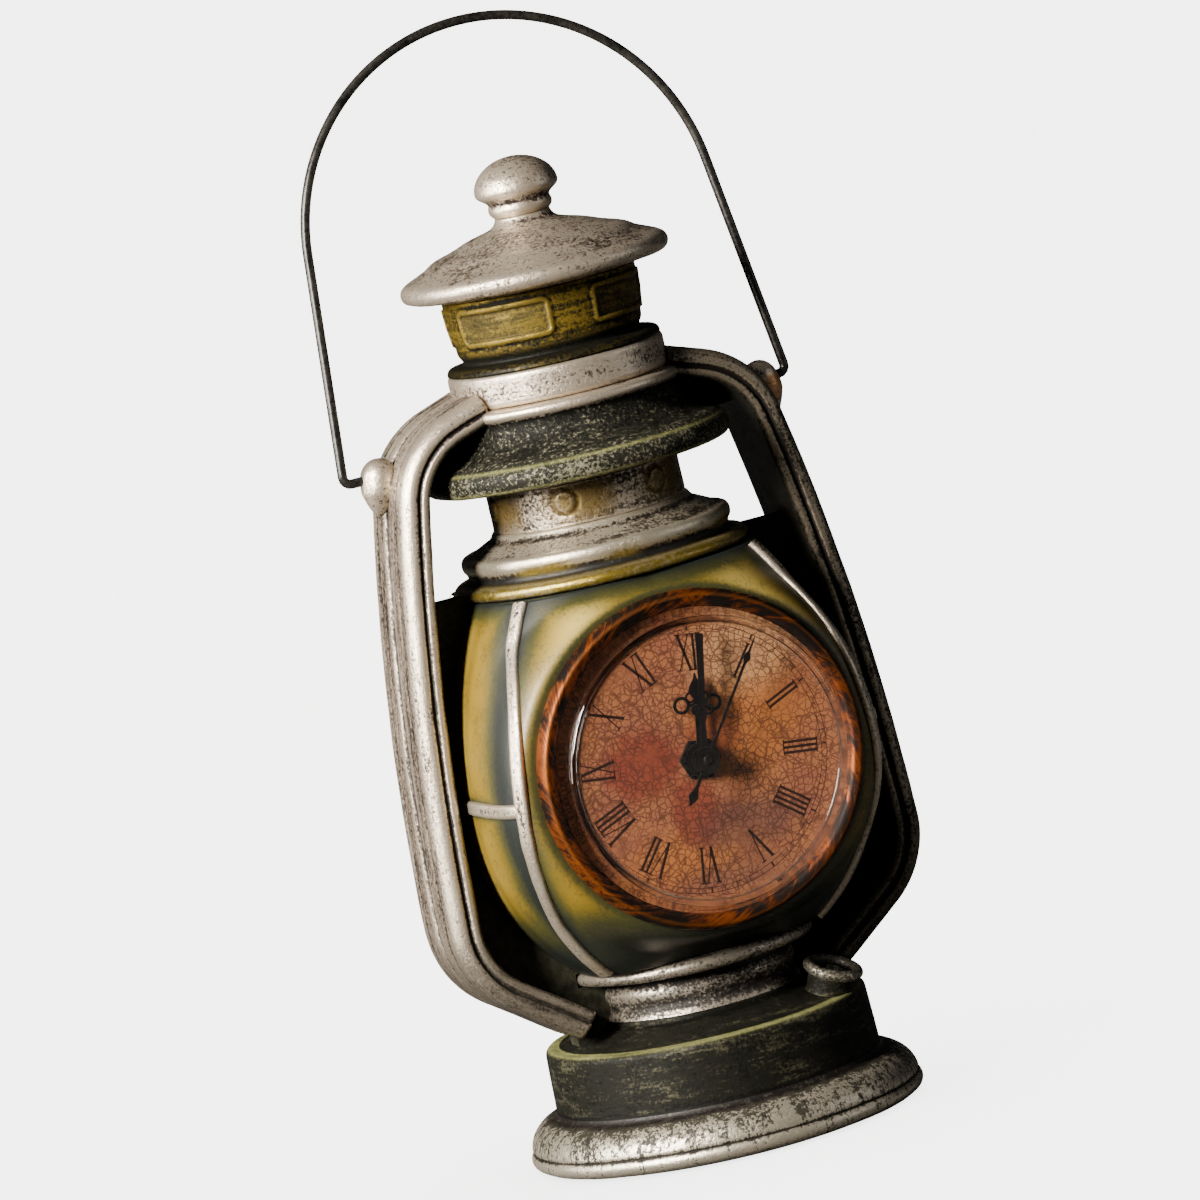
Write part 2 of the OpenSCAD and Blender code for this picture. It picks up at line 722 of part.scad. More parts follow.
// A section swept along stations: its first axis points left of the path, its second to the
// front. Both ends run out to a point, which lies inside another piece.
module swept(path, section) {
    first = line_end(path[0], -1);
    last = line_end(path[len(path) - 1], 1);
    lofted([for (s = path) [for (p = section)
        [s[0] - p[0] * sin(s[2]), -p[1], s[1] + p[0] * cos(s[2])]]],
        [[first[0], 0, first[1]], [last[0], 0, last[1]]]);
}

// Side tubes

tube_in = 14;
tube_out = 18;
tube_x = globe_half_w + tube_gap + tube_t / 2;
upper_heading = -tube_top_slope - tube_bend_a;
// Length of the sloping top stretch, which brings the tube to its place beside the globe
tube_top_l = (tube_x - collar_r + tube_t / 2 * sin(tube_top_slope)
    + (tube_bend_r - tube_t / 2) * (sin(tube_top_slope) + sin(upper_heading))
    + (tube_side_r - tube_t / 2) * (sin(upper_heading - tube_side_a) - sin(upper_heading)))
    / cos(tube_top_slope);
tube_links = [
    ["line", tube_top_l + tube_in],
    ["bend", tube_bend_r - tube_t / 2, tube_bend_a, 10],
    ["bend", tube_side_r - tube_t / 2, tube_side_a, 4],
    ["bend", tube_foot_r - tube_t / 2, tube_foot_a, 8],
    ["line", tube_out + tube_in]];

// Half the section of a side tube: a rounded bar with a bead on each edge, a groove down the
// middle of its outer face, and a finer one beside each bead
function tube_half() =
    let (t = tube_t / 2, d = tube_d / 2, r = tube_bead_r, outer = d - 2 * r, inner = 2 * r - t)
    concat(
        [[t - 0.9, 0.5], [t, 1.8], [t, outer - 1.1], [t - 0.45, outer - 0.4], [t, outer + 0.2]],
        arc(t - r, d - r, r, r, 5, 85, 3),
        [[inner + 1.1, d], [inner + 0.4, d - 0.45], [inner - 0.3, d]],
        arc(r - t, d - r, r, r, 95, 180, 3));
function mirrored(half) = [for (i = [len(half) - 1 : -1 : 0]) [half[i][0], -half[i][1]]];

// The tube's middle line starts inside the collar, half a thickness under its top face
tube_path = stations([
    collar_r - tube_in * cos(tube_top_slope) - tube_t / 2 * sin(tube_top_slope),
    tube_top_z + tube_in * sin(tube_top_slope) - tube_t / 2 * cos(tube_top_slope),
    -tube_top_slope], tube_links);

module tube_bar() {
    swept(tube_path, concat(tube_half(), mirrored(tube_half())));
}

// Web that closes the gap between a side tube, the globe and the burner neck
module web() {
    gap = 0.3;
    top = gallery_z + 2;
    last = len(tube_path) - 1;
    outer = [for (s = tube_path) if (s[2] < upper_heading - 0.1 && s[1] < top && s[1] > neck_z) [s[0], s[1]]];
    inner = [for (i = [globe_rings : -1 : 0])
        let (z = globe_level(i)) [globe_w(z) + gap, globe_z + z]];
    rotate([90, 0, 0]) linear_extrude(height = web_t, center = true) difference() {
        polygon(concat(
            [[tube_path[last][0], tube_path[last][1]]],
            [for (i = [len(outer) - 1 : -1 : 0]) outer[i]],
            [[tube_x - 4.5, top], [gallery_lip_r + gap, top], [gallery_lip_r + gap, gallery_z - 0.1]],
            inner,
            [[plate_r + gap, globe_z], [plate_r + gap, plate_z], [neck_r, plate_z]]));
        translate([0, globe_z + guard_cross_h - guard_w / 2 - gap])
            square([globe_half_w + guard_gap + guard_t + gap, guard_w + 2 * gap]);
    }
}

ear_x = globe_half_w + ear_out;

// A ball on a skirt that runs down into the tube
module ear() {
    translate([ear_x, 0, ear_z]) {
        sphere(r = ear_r);
        rotate([0, -140, 0]) cylinder(r1 = ear_r * 0.95, r2 = ear_r * 1.2, h = 8);
    }
}

seam = 0.05;
function grown(profile) = [for (p = profile) [p[0] + seam, p[1]]];

// Everything that a side tube's ends are cut to, a seam's width larger than the stack
module stack_cut() {
    translate([0, 0, -1]) cylinder(r = drum_r - drum_taper, h = shoulder_z + 1);
    turned(grown(base_profile()));
    translate([0, 0, seam]) turned(base_profile());
    translate([0, 0, shoulder_z]) cylinder(r = neck_r + 0.8, h = plate_z - shoulder_z);
    translate([0, 0, plate_z - 1]) cylinder(r = plate_r + 0.3, h = plate_t + 1);
    translate([0, 0, hood_z + hood_h / 2]) cylinder(r = collar_r + seam, h = big);
    turned(grown(hood_profile()));
    translate([0, 0, seam]) turned(hood_profile());
}

module side_tube(right) {
    bore = bail_wire_d / 2 + bail_play;
    color(silver) on_right(right) difference() {
        union() {
            tube_bar();
            ear();
            web();
        }
        stack_cut();
        translate([ear_x - ear_r - 1, 0, ear_z]) rotate([0, 90, 0])
            cylinder(r = bore, h = 3 * ear_r);
    }
}

module left_side_tube() { side_tube(false); }
module right_side_tube() { side_tube(true); }

// Bail: one wire from foot to foot, whose ends are round pins in the ears

bail_foot_x = ear_x + ear_r + bail_gap;
bail_arch_r = bail_foot_x * cos(bail_splay) + bail_bend_r * (1 + sin(bail_splay))
    - bail_rise * sin(bail_splay);
bail_leg = (bail_rise + bail_arch_r * sin(bail_splay) - bail_bend_r * (1 + sin(bail_splay)))
    / cos(bail_splay);

module bail() {
    pin_end = 0.5;
    pin = ["line", 2];
    foot = ["bend", bail_bend_r, 90 + bail_splay, 5];
    leg = ["line", bail_leg];
    arch = ["bend", bail_arch_r, 180 - 2 * bail_splay, 36];
    r = bail_wire_d / 2;
    color([0.1, 0.1, 0.1]) translate([-bail_shift, 0, ear_z]) rotate([-bail_lean, 0, 0]) {
        swept(stations([pin[1] - bail_foot_x, 0, 180], [pin, foot, leg, arch, leg, foot, pin]),
            [for (i = [0 : 15]) polar(r * 0.985, 22.5 * i)]);
        for (right = [true, false]) on_right(right)
            translate([bail_foot_x - bail_foot_l, 0, 0]) rotate([0, 90, 0])
                cylinder(r = r, h = bail_foot_l - pin_end);
    }
}

// Clock insert, drawn on its own axis and turned a little in the seat

module at_insert() {
    at_seat() rotate([0, 0, -insert_turn]) children();
}

module bezel() {
    lip = lens_r + 0.1;
    top_r = (lip + bezel_r) / 2;
    color(copper) at_insert() difference() {
        turned(concat(
            [[bezel_r - 0.5, 0]],
            arc(top_r + 0.4, bezel_h * 0.25, bezel_r - top_r - 0.4, bezel_h * 0.75, -10, 92, 12),
            arc(top_r - 0.4, bezel_h * 0.45, top_r - 0.4 - lip, bezel_h * 0.5, 88, 180, 6)));
        translate([0, 0, -1]) cylinder(r = lip, h = big);
        translate([0, 0, -1]) cylinder(r = can_in_r, h = flange_front + 1.1);
    }
}

module lens() {
    inner = lens_r - lens_wall;
    front = lens_h - lens_wall;
    color([0.85, 0.92, 0.95, 0.35]) at_insert() difference() {
        turned(concat(
            [[lens_r + lens_flange, dial_front], [lens_r + lens_flange, flange_front],
                [lens_r, flange_front], [lens_r, bezel_h]],
            arc(lens_r - lens_draft - 1.6, lens_h - 2, 1.6, 1.6, 0, 78, 8),
            [[lens_r * 0.6, lens_h - 0.12], [lens_r * 0.3, lens_h - 0.02], [0.1, lens_h]]));
        translate([0, 0, dial_front - 1])
            turned([[inner, 0], [inner, bezel_h], [inner - lens_draft, front - dial_front + 0.2],
                [inner - lens_draft - 0.9, front - dial_front + 1], [0.1, front - dial_front + 1]]);
    }
}

module dial() {
    color([0.72, 0.46, 0.34]) at_insert()
        ring(can_in_r - 0.2, bush_r + 0.1, dial_back, dial_front);
}

module insert_can() {
    color([0.85, 0.85, 0.82]) at_insert() difference() {
        translate([0, 0, -can_depth]) cylinder(r = can_r, h = can_depth);
        translate([0, 0, case_back]) cylinder(r = can_in_r, h = big);
        translate([0, 0, -can_depth - 1]) cylinder(r = case_r - 0.8, h = big);
        at_screws() cylinder(r = screw_r * 0.6 + 0.05, h = big, center = true);
    }
}

// Two soft ribs round the can
module gasket() {
    rib_r = bore_r - gasket_play;
    back = -can_depth * 0.68;
    h = gasket_h;
    color([0.12, 0.12, 0.12]) at_insert() translate([0, 0, back]) difference() {
        turned([[can_r, 0], [rib_r, h * 0.12], [rib_r, h * 0.34], [can_r + 0.2, h * 0.46],
            [rib_r, h * 0.58], [rib_r, h * 0.8], [can_r + 0.2, h * 0.92], [can_r, h]]);
        translate([0, 0, -1]) cylinder(r = can_r, h = h + 2);
    }
}

// Hands: hubs, scrolls and blades cut from thin sheet, pointing along +Y

module loop_pair(x, y, r, w) {
    for (s = [-1, 1]) translate([s * x, y]) difference() {
        circle(r = r);
        circle(r = r - w);
    }
}

module blade(points) {
    polygon(concat(points, [for (i = [len(points) - 1 : -1 : 0]) [-points[i][0], points[i][1]]]));
}

module hand_plate(level, turn, bore) {
    translate([0, 0, level]) rotate([0, 0, -turn]) linear_extrude(height = hand_t) difference() {
        children();
        circle(r = bore);
    }
}

module hour_hand() {
    l = hour_hand_l;
    color([0.06, 0.06, 0.06]) at_insert() hand_plate(hour_hand_l0, hour_angle, hour_pipe_r) {
        circle(r = hour_pipe_r + 1.7);
        blade([[1, 3], [0.8, l * 0.5], [1.4, l * 0.58], [1.1, l * 0.64], [0.8, l * 0.7],
            [2, l * 0.78], [1.6, l * 0.84], [0.5, l * 0.93], [0.1, l]]);
        loop_pair(3.9, l * 0.64, 2.1, 0.75);
        loop_pair(1.6, l * 0.72, 1.3, 0.5);
        translate([-2, l * 0.61]) square([4, 0.9]);
    }
}

module minute_hand() {
    l = minute_hand_l;
    color([0.06, 0.06, 0.06]) at_insert() hand_plate(minute_hand_l0, minute_angle, cannon_pipe_r) {
        circle(r = cannon_pipe_r + 1.5);
        blade([[0.8, 2.4], [0.6, l * 0.3], [1.1, l * 0.36], [0.6, l * 0.44], [0.75, l * 0.52],
            [0.85, l * 0.9], [1, l * 0.985], [0.8, l]]);
        loop_pair(1.5, l * 0.4, 1.3, 0.55);
        translate([-1, l * 0.38]) square([2, 0.7]);
    }
}

module second_hand() {
    l = second_hand_l;
    tail = 11.5;
    color([0.06, 0.06, 0.06]) at_insert() {
        hand_plate(second_hand_l0, second_angle, second_arbor_r) {
            circle(r = second_hub_r);
            blade([[0.1, -tail], [1.25, -tail + 2.2], [0.45, -tail + 4.4], [0.3, -2],
                [0.3, l * 0.79], [0.95, l * 0.83], [0.25, l * 0.88], [0.08, l]]);
        }
        translate([0, 0, second_hand_l0 + hand_t]) ring(1.3, second_arbor_r, 0, 0.3);
    }
}

module dial_nut() {
    color(brass) at_insert() difference() {
        translate([0, 0, dial_front]) cylinder(r = bush_r + 1.8, h = 0.9, $fn = 6);
        cylinder(r = bush_r, h = 10, center = true);
    }
}

// Movement: case, train, motor and cell

// A wheel of z trapezoid teeth on a pitch circle of z modules
module gear(z, m, turn, level, h) {
    pitch = 360 / z;
    r = z * m / 2;
    low = z < 20 ? 0.19 : 0.24;
    high = z < 20 ? 0.08 : 0.09;
    translate([0, 0, level]) rotate([0, 0, turn]) linear_extrude(height = h)
        polygon([for (i = [0 : z - 1]) each [
            polar(r - 1.15 * m, pitch * (i - low)),
            polar(r + 0.75 * m, pitch * (i - high)),
            polar(r + 0.75 * m, pitch * (i + high)),
            polar(r - 1.15 * m, pitch * (i + low))]]);
}

// A plain arbor with a thin pivot at each end
module arbor(r, z0, z1, pivot = pivot_r) {
    translate([0, 0, z0 - case_t * 0.8]) cylinder(r = pivot, h = z1 - z0 + case_t * 1.6);
    translate([0, 0, z0 + 0.1]) cylinder(r = r, h = z1 - z0 - 0.2);
}

rear_inner = case_back + case_t;
board_l = rear_inner + 0.3;

module bearing(at, level) {
    translate([at[0], at[1], level - 1])
        cylinder(r = pivot_r + pivot_play, h = case_t + 2, $fn = 48);
}

module movement_plate() {
    color([0.75, 0.75, 0.72]) at_insert() difference() {
        union() {
            translate([0, 0, plate_back]) cylinder(r = case_r, h = case_t);
            translate([0, 0, plate_back]) cylinder(r = bush_r, h = dial_front + 0.9 - plate_back);
        }
        translate([0, 0, plate_back - 1]) cylinder(r = bush_bore_r, h = 20);
        for (p = [fifth_at, rotor_at, third_at, setting_at]) bearing(p, plate_back);
    }
}

module movement_case() {
    knob_bore = 1.2 + pivot_play;
    wall = 1.2;
    color([0.88, 0.88, 0.86]) at_insert() difference() {
        union() {
            difference() {
                translate([0, 0, case_back]) cylinder(r = case_r, h = plate_back - case_back);
                translate([0, 0, rear_inner]) cylinder(r = case_r - wall, h = big);
            }
            translate([cell_at[0], cell_at[1], case_back])
                cylinder(r = cell_r + 1.2, h = cell_t + case_t);
            at_screws() translate([0, 0, case_back]) {
                cylinder(r = screw_r + 0.7, h = lug_h);
                translate([-screw_out - 0.6, -screw_r, 0]) cube([screw_out + 0.6, 2 * screw_r, lug_h]);
            }
        }
        at_screws() cylinder(r = screw_r * 0.6 + 0.05, h = big, center = true);
        translate([cell_at[0], cell_at[1], case_back - 1]) cylinder(r = cell_r + 0.2, h = cell_t + 1.4);
        translate([setting_at[0], setting_at[1], case_back - 1]) cylinder(r = knob_bore, h = 4);
        for (p = [fifth_at, rotor_at, third_at, [0, 0]]) bearing(p, case_back);
    }
}

// Screws through lugs on the case's rim, into the can's back
screw_out = 1.9;
lug_h = 1.4;

module at_screws() {
    for (a = [80, 200, 320]) rotate([0, 0, a]) translate([case_r + screw_out, 0, 0]) children();
}

module case_screws() {
    head_h = 0.9;
    color([0.7, 0.7, 0.7]) at_insert() at_screws() {
        translate([0, 0, case_back + lug_h]) difference() {
            cylinder(r = screw_r, h = head_h);
            translate([-2 * screw_r, -0.3, head_h * 0.6]) cube([4 * screw_r, 0.6, 1]);
        }
        translate([0, 0, -can_depth + 0.2]) cylinder(r = screw_r * 0.6, h = case_t + lug_h);
    }
}

module centre_wheel() {
    color(brass) at_insert() difference() {
        union() {
            gear(centre_teeth, third_m, centre_turn, centre_l, wheel_t);
            translate([0, 0, centre_l]) cylinder(r = 2.4, h = 1);
        }
        translate([0, 0, centre_l - 1]) cylinder(r = cannon_pipe_r + pivot_play, h = 5);
    }
}

module cannon_pinion() {
    foot = centre_l - 0.5;
    color(brass) at_insert() difference() {
        union() {
            gear(cannon_teeth, cannon_m, 0, motion_l, wheel_t + 0.2);
            translate([0, 0, foot]) cylinder(r = cannon_pipe_r, h = minute_hand_l0 + hand_t - foot);
            translate([0, 0, foot - 0.2]) cylinder(r = cannon_pipe_r + 0.5, h = 0.6);
        }
        translate([0, 0, foot - 1]) cylinder(r = cannon_bore_r, h = 30);
    }
}

module hour_wheel() {
    color([0.85, 0.85, 0.8]) at_insert() difference() {
        union() {
            gear(hour_teeth, setting_m, hour_turn, hour_wheel_l, wheel_t);
            translate([0, 0, hour_wheel_l])
                cylinder(r = hour_pipe_r, h = hour_hand_l0 + hand_t - hour_wheel_l);
        }
        translate([0, 0, hour_wheel_l - 1]) cylinder(r = hour_bore_r, h = 30);
    }
}

module setting_wheel() {
    color([0.85, 0.85, 0.8]) at_insert() translate([setting_at[0], setting_at[1], 0]) {
        gear(setting_teeth, cannon_m, setting_turn, motion_l, wheel_t);
        gear(setting_pinion_teeth, setting_m, 0, motion_l + wheel_t, hour_wheel_l - motion_l + 0.1);
        translate([0, 0, plate_back - 0.6]) cylinder(r = pivot_r, h = 0.6 + case_t * 0.8);
        translate([0, 0, rear_inner]) cylinder(r = 1.2, h = motion_l - rear_inner + 0.2);
        translate([0, 0, case_back - 1]) cylinder(r = 1.2, h = 3);
    }
}

module setting_knob() {
    notch = 15;
    color([0.15, 0.15, 0.15]) at_insert() translate([setting_at[0], setting_at[1], case_back - 2.4])
        difference() {
            cylinder(r = knob_set_r, h = 2);
            for (i = [0 : notch - 1]) rotate([0, 0, i * 360 / notch])
                translate([knob_set_r + 0.25, 0, -1]) cylinder(r = 0.55, h = 4, $fn = 24);
            translate([0, 0, 1.4]) cylinder(r = 1.2, h = 4);
        }
}

module third_wheel() {
    color(brass) at_insert() translate([third_at[0], third_at[1], 0]) {
        gear(third_teeth, second_m, third_turn, third_l, wheel_t);
        gear(third_pinion_teeth, third_m, 0, third_l + wheel_t, centre_l - third_l + 0.1);
        arbor(arbor_r * 0.85, rear_inner, plate_back);
    }
}

module second_wheel() {
    color(brass) at_insert() {
        gear(second_teeth, fifth_m, 0, second_l, wheel_t);
        gear(second_pinion_teeth, second_m, 0, second_l + wheel_t, third_l - second_l + 0.1);
        translate([0, 0, case_back + 0.1])
            cylinder(r = pivot_r, h = second_l - case_back);
        translate([0, 0, second_l])
            cylinder(r = second_arbor_r, h = second_hand_l0 + hand_t + 0.3 - second_l);
    }
}

module fifth_wheel() {
    color([0.85, 0.85, 0.8]) at_insert() translate([fifth_at[0], fifth_at[1], 0]) {
        gear(fifth_teeth, rotor_m, 0, fifth_l, wheel_t);
        gear(fifth_pinion_teeth, fifth_m, fifth_pinion_turn, fifth_l + wheel_t,
            second_l - fifth_l + 0.1);
        arbor(arbor_r, rear_inner, plate_back);
    }
}

magnet_r = 2.4;
magnet_l = fifth_l + wheel_t + 0.7;
magnet_h = 1.6;

module rotor() {
    color([0.3, 0.3, 0.32]) at_insert() translate([rotor_at[0], rotor_at[1], 0]) {
        gear(rotor_teeth, rotor_m, rotor_turn, fifth_l - 0.1, wheel_t + 0.9);
        translate([0, 0, magnet_l]) cylinder(r = magnet_r, h = magnet_h);
        arbor(arbor_r * 0.8, rear_inner, plate_back);
    }
}

core_r = 1.1;
coil_l = 15;
coil_r = 3.1;
stator_l = magnet_l + 0.3;
stator_t = 1;
core_l = stator_l + stator_t / 2;

module strip(p, q, w) {
    d = q - p;
    translate(p) rotate([0, 0, atan2(d[1], d[0])]) translate([0, -w / 2]) square([norm(d), w]);
    translate(q) circle(r = w / 2);
}

// Two legs of iron sheet that reach round the magnet, joined by the coil's core
module stator() {
    hole = magnet_r + 0.5;
    half = coil_l / 2 + 2;
    w = 2.6;
    color([0.5, 0.5, 0.52]) at_insert() {
        translate([0, 0, stator_l]) linear_extrude(height = stator_t) difference() {
            union() {
                translate(rotor_at) circle(r = hole + 1.3);
                for (s = [-1, 1]) {
                    knee = [coil_at[0] + s * half, rotor_at[1] + 3.2];
                    strip(rotor_at + [s * (hole + 0.3), 0], knee, w);
                    strip(knee, coil_at + [s * half, 0], w);
                }
            }
            translate(rotor_at) circle(r = hole);
        }
        translate([coil_at[0] - half, coil_at[1], core_l]) rotate([0, 90, 0])
            cylinder(r = stator_t / 2 - 0.02, h = 2 * half);
    }
}

module at_coil() {
    translate([coil_at[0], coil_at[1], core_l]) rotate([0, 90, 0]) children();
}

module coil_bobbin() {
    color([0.9, 0.9, 0.88]) at_insert() at_coil() {
        ring(core_r, stator_t / 2 + 0.02, -coil_l / 2, coil_l / 2);
        for (s = [-1, 1]) translate([0, 0, s * (coil_l / 2 - 0.4)])
            ring(coil_r, stator_t / 2 + 0.02, -0.4, 0.4);
    }
}

module coil_winding() {
    color(copper) at_insert() at_coil()
        ring(coil_r - 0.3, core_r, -coil_l / 2 + 0.8, coil_l / 2 - 0.8);
}

module circuit_board() {
    color([0.1, 0.35, 0.2]) at_insert() translate([board_at[0], board_at[1], rear_inner]) {
        translate([-5, -7, 0.5]) cube([10, 13, 0.8]);
        for (p = [[-3.6, -5.6], [3.6, 4.6]]) translate([p[0], p[1], 0]) cylinder(r = 0.9, h = 0.5);
        translate([-0.5, 1, 1.3]) cylinder(r = 1.8, h = 0.9);
    }
}

module quartz_crystal() {
    color([0.8, 0.8, 0.82]) at_insert()
        translate([board_at[0] - 3, board_at[1] - 4, rear_inner + 1.3 + 1]) rotate([0, 90, 0])
            cylinder(r = 1, h = 6);
}

module button_cell() {
    color([0.75, 0.76, 0.78]) at_insert()
        translate([cell_at[0], cell_at[1], case_back + 0.3]) {
            cylinder(r = cell_r, h = cell_t - 0.9);
            cylinder(r = cell_r - 0.9, h = cell_t - 0.4);
        }
}

// Spring clip across the open well, which is the cell's outer contact
module cell_clip() {
    reach = cell_r + 3.2;
    color([0.8, 0.78, 0.7]) at_insert() translate([cell_at[0], cell_at[1], case_back]) {
        rotate([0, 0, atan2(cell_at[1], cell_at[0]) + 90]) difference() {
            translate([-reach, -1.6, -0.5]) cube([2 * reach, 3.2, 0.5]);
            for (s = [-1, 1]) translate([s * (reach - 1.2), 0, -1]) cylinder(r = 0.6, h = 2);
        }
    }
}

module cell_contact() {
    color([0.8, 0.78, 0.7]) at_insert()
        translate([cell_at[0], cell_at[1], case_back + cell_t - 0.05]) cylinder(r = 2.2, h = 0.4);
}

base();
felt_pad();
filler_cap();
burner_neck();
globe();
left_guard();
right_guard();
gallery();
chimney_neck();
hood();
collar();
vent_band();
cap();
cap_knob();
left_side_tube();
right_side_tube();
bail();
bezel();
lens();
dial();
insert_can();
gasket();
hour_hand();
minute_hand();
second_hand();
dial_nut();
movement_plate();
movement_case();
case_screws();
centre_wheel();
cannon_pinion();
hour_wheel();
setting_wheel();
setting_knob();
third_wheel();
second_wheel();
fifth_wheel();
rotor();
stator();
coil_bobbin();
coil_winding();
circuit_board();
quartz_crystal();
button_cell();
cell_clip();
cell_contact();
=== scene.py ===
from math import atan2, cos, degrees, exp, hypot, pi, radians, sin, sqrt
import bmesh
import bpy
import numpy as np
from mathutils import Matrix, Vector, noise


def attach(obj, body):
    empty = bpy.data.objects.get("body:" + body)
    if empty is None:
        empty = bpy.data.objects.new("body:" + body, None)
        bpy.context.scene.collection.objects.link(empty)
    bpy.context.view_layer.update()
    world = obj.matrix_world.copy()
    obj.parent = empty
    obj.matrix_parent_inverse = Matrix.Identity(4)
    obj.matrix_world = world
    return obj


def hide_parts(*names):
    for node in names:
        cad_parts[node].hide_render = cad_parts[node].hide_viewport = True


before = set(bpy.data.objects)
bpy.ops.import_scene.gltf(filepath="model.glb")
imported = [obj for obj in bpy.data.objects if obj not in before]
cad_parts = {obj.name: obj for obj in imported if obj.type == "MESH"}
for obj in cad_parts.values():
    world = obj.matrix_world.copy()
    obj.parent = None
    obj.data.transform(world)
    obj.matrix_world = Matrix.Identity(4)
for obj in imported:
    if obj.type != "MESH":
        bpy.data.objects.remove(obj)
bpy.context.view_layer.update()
scene = bpy.context.scene
mm = 0.001
print("frame loaded:", len(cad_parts), "nodes")


# Camera, at the angle of the photograph, with its lean

cameraSet = {"target": (0.0, 0.0, 0.13156), "turn": -17.0, "height": 6.6767, "distance": 2.22873,
             "aim": -0.0601, "lean": 12.8325, "lens": 280.1}


def makeCamera(s):
    turn, height = radians(s["turn"]), radians(s["height"])
    back = Vector((sin(turn) * cos(height), -cos(turn) * cos(height), sin(height)))
    right = Vector((cos(turn), sin(turn), 0))
    up = back.cross(right)
    aim, lean = radians(s["aim"]), radians(s["lean"])
    forward = -back * cos(aim) + right * sin(aim)
    right = right * cos(aim) + back * sin(aim)
    tilted = right * cos(lean) - up * sin(lean)
    data = bpy.data.cameras.new("photoCamera")
    data.lens, data.sensor_width, data.clip_end = s["lens"], 36, 100
    camera = bpy.data.objects.new("photoCamera", data)
    scene.collection.objects.link(camera)
    place = Matrix((tilted, right * sin(lean) + up * cos(lean), -forward)).transposed().to_4x4()
    place.translation = Vector(s["target"]) + back * s["distance"]
    camera.matrix_world = place
    scene.camera = camera


makeCamera(cameraSet)
print("camera set")


# Node helpers

def add(tree, kind, links=None, **settings):
    node = tree.nodes.new(kind)
    for key, value in settings.items():
        setattr(node, key, value)
    for key, value in (links or {}).items():
        feed(tree, value, node.inputs[key])
    return node


def feed(tree, value, socket):
    if isinstance(value, bpy.types.NodeSocket):
        tree.links.new(value, socket)
    elif hasattr(socket.default_value, "__len__") and len(socket.default_value) == 4 and len(value) == 3:
        socket.default_value = (*value, 1)
    else:
        socket.default_value = value


def calc(tree, operation, a, b, clamp=False):
    return add(tree, "ShaderNodeMath", {0: a, 1: b}, operation=operation, use_clamp=clamp).outputs[0]


def plus(tree, a, b, clamp=False):
    return calc(tree, "ADD", a, b, clamp)


def less(tree, a, b, clamp=False):
    return calc(tree, "SUBTRACT", a, b, clamp)


def times(tree, a, b):
    return calc(tree, "MULTIPLY", a, b)


def most(tree, a, b):
    return calc(tree, "MAXIMUM", a, b)


def fade(tree, value, low, high):
    links = {"Value": value, "From Min": low, "From Max": high}
    return add(tree, "ShaderNodeMapRange", links, interpolation_type="SMOOTHSTEP").outputs[0]


def blend(tree, factor, a, b):
    return add(tree, "ShaderNodeMix", {0: factor, 6: a, 7: b}, data_type="RGBA").outputs[2]


def cloud(tree, vector, scale, detail=3.0, rough=0.5, warp=0.0):
    links = {"Vector": vector, "Scale": scale, "Detail": detail, "Roughness": rough, "Distortion": warp}
    return add(tree, "ShaderNodeTexNoise", links).outputs["Fac"]


def stretched(tree, vector, amounts):
    return add(tree, "ShaderNodeVectorMath", {0: vector, 1: amounts}, operation="MULTIPLY").outputs[0]


def attribute(tree, name, output="Fac"):
    return add(tree, "ShaderNodeAttribute", attribute_name=name).outputs[output]


def objectPlace(tree):
    return add(tree, "ShaderNodeTexCoord").outputs["Object"]


def newGroup(name, inputs, outputs):
    tree = bpy.data.node_groups.new(name, "ShaderNodeTree")
    for socketName, kind in inputs.items():
        tree.interface.new_socket(socketName, in_out="INPUT", socket_type="NodeSocket" + kind)
    for socketName, kind in outputs.items():
        tree.interface.new_socket(socketName, in_out="OUTPUT", socket_type="NodeSocket" + kind)
    return tree, add(tree, "NodeGroupInput").outputs, add(tree, "NodeGroupOutput").inputs


def useGroup(tree, shared, links):
    return add(tree, "ShaderNodeGroup", links, node_tree=shared).outputs


# Grain of hand-painted cast resin: fine stipple, long brush marks, broad patches, dark specks.
# The vector is in metres, and Flow is the same place stretched along the brush.

def makeGrain():
    tree, source, result = newGroup(
        "handGrain", {"Vector": "Vector", "Flow": "Vector"},
        {"Fine": "Float", "Streak": "Float", "Patch": "Float", "Speck": "Float"})
    fine = cloud(tree, source["Vector"], 1250, 4, 0.72)
    feed(tree, fine, result["Fine"])
    wide = cloud(tree, source["Flow"], 420, 4, 0.62, 0.4)
    thin = cloud(tree, source["Flow"], 1500, 3, 0.6)
    feed(tree, plus(tree, times(tree, wide, 0.62), times(tree, thin, 0.38)), result["Streak"])
    feed(tree, cloud(tree, source["Vector"], 70, 4, 0.6), result["Patch"])
    dots = cloud(tree, source["Vector"], 1150, 3, 0.65)
    gather = cloud(tree, source["Vector"], 170, 3, 0.6)
    mixed = plus(tree, times(tree, dots, 0.6), times(tree, gather, 0.4))
    feed(tree, fade(tree, mixed, 0.53, 0.575), result["Speck"])
    return tree


# Paint rubbed over a dark ground: light on the ridges and along the brush, dark in the hollows

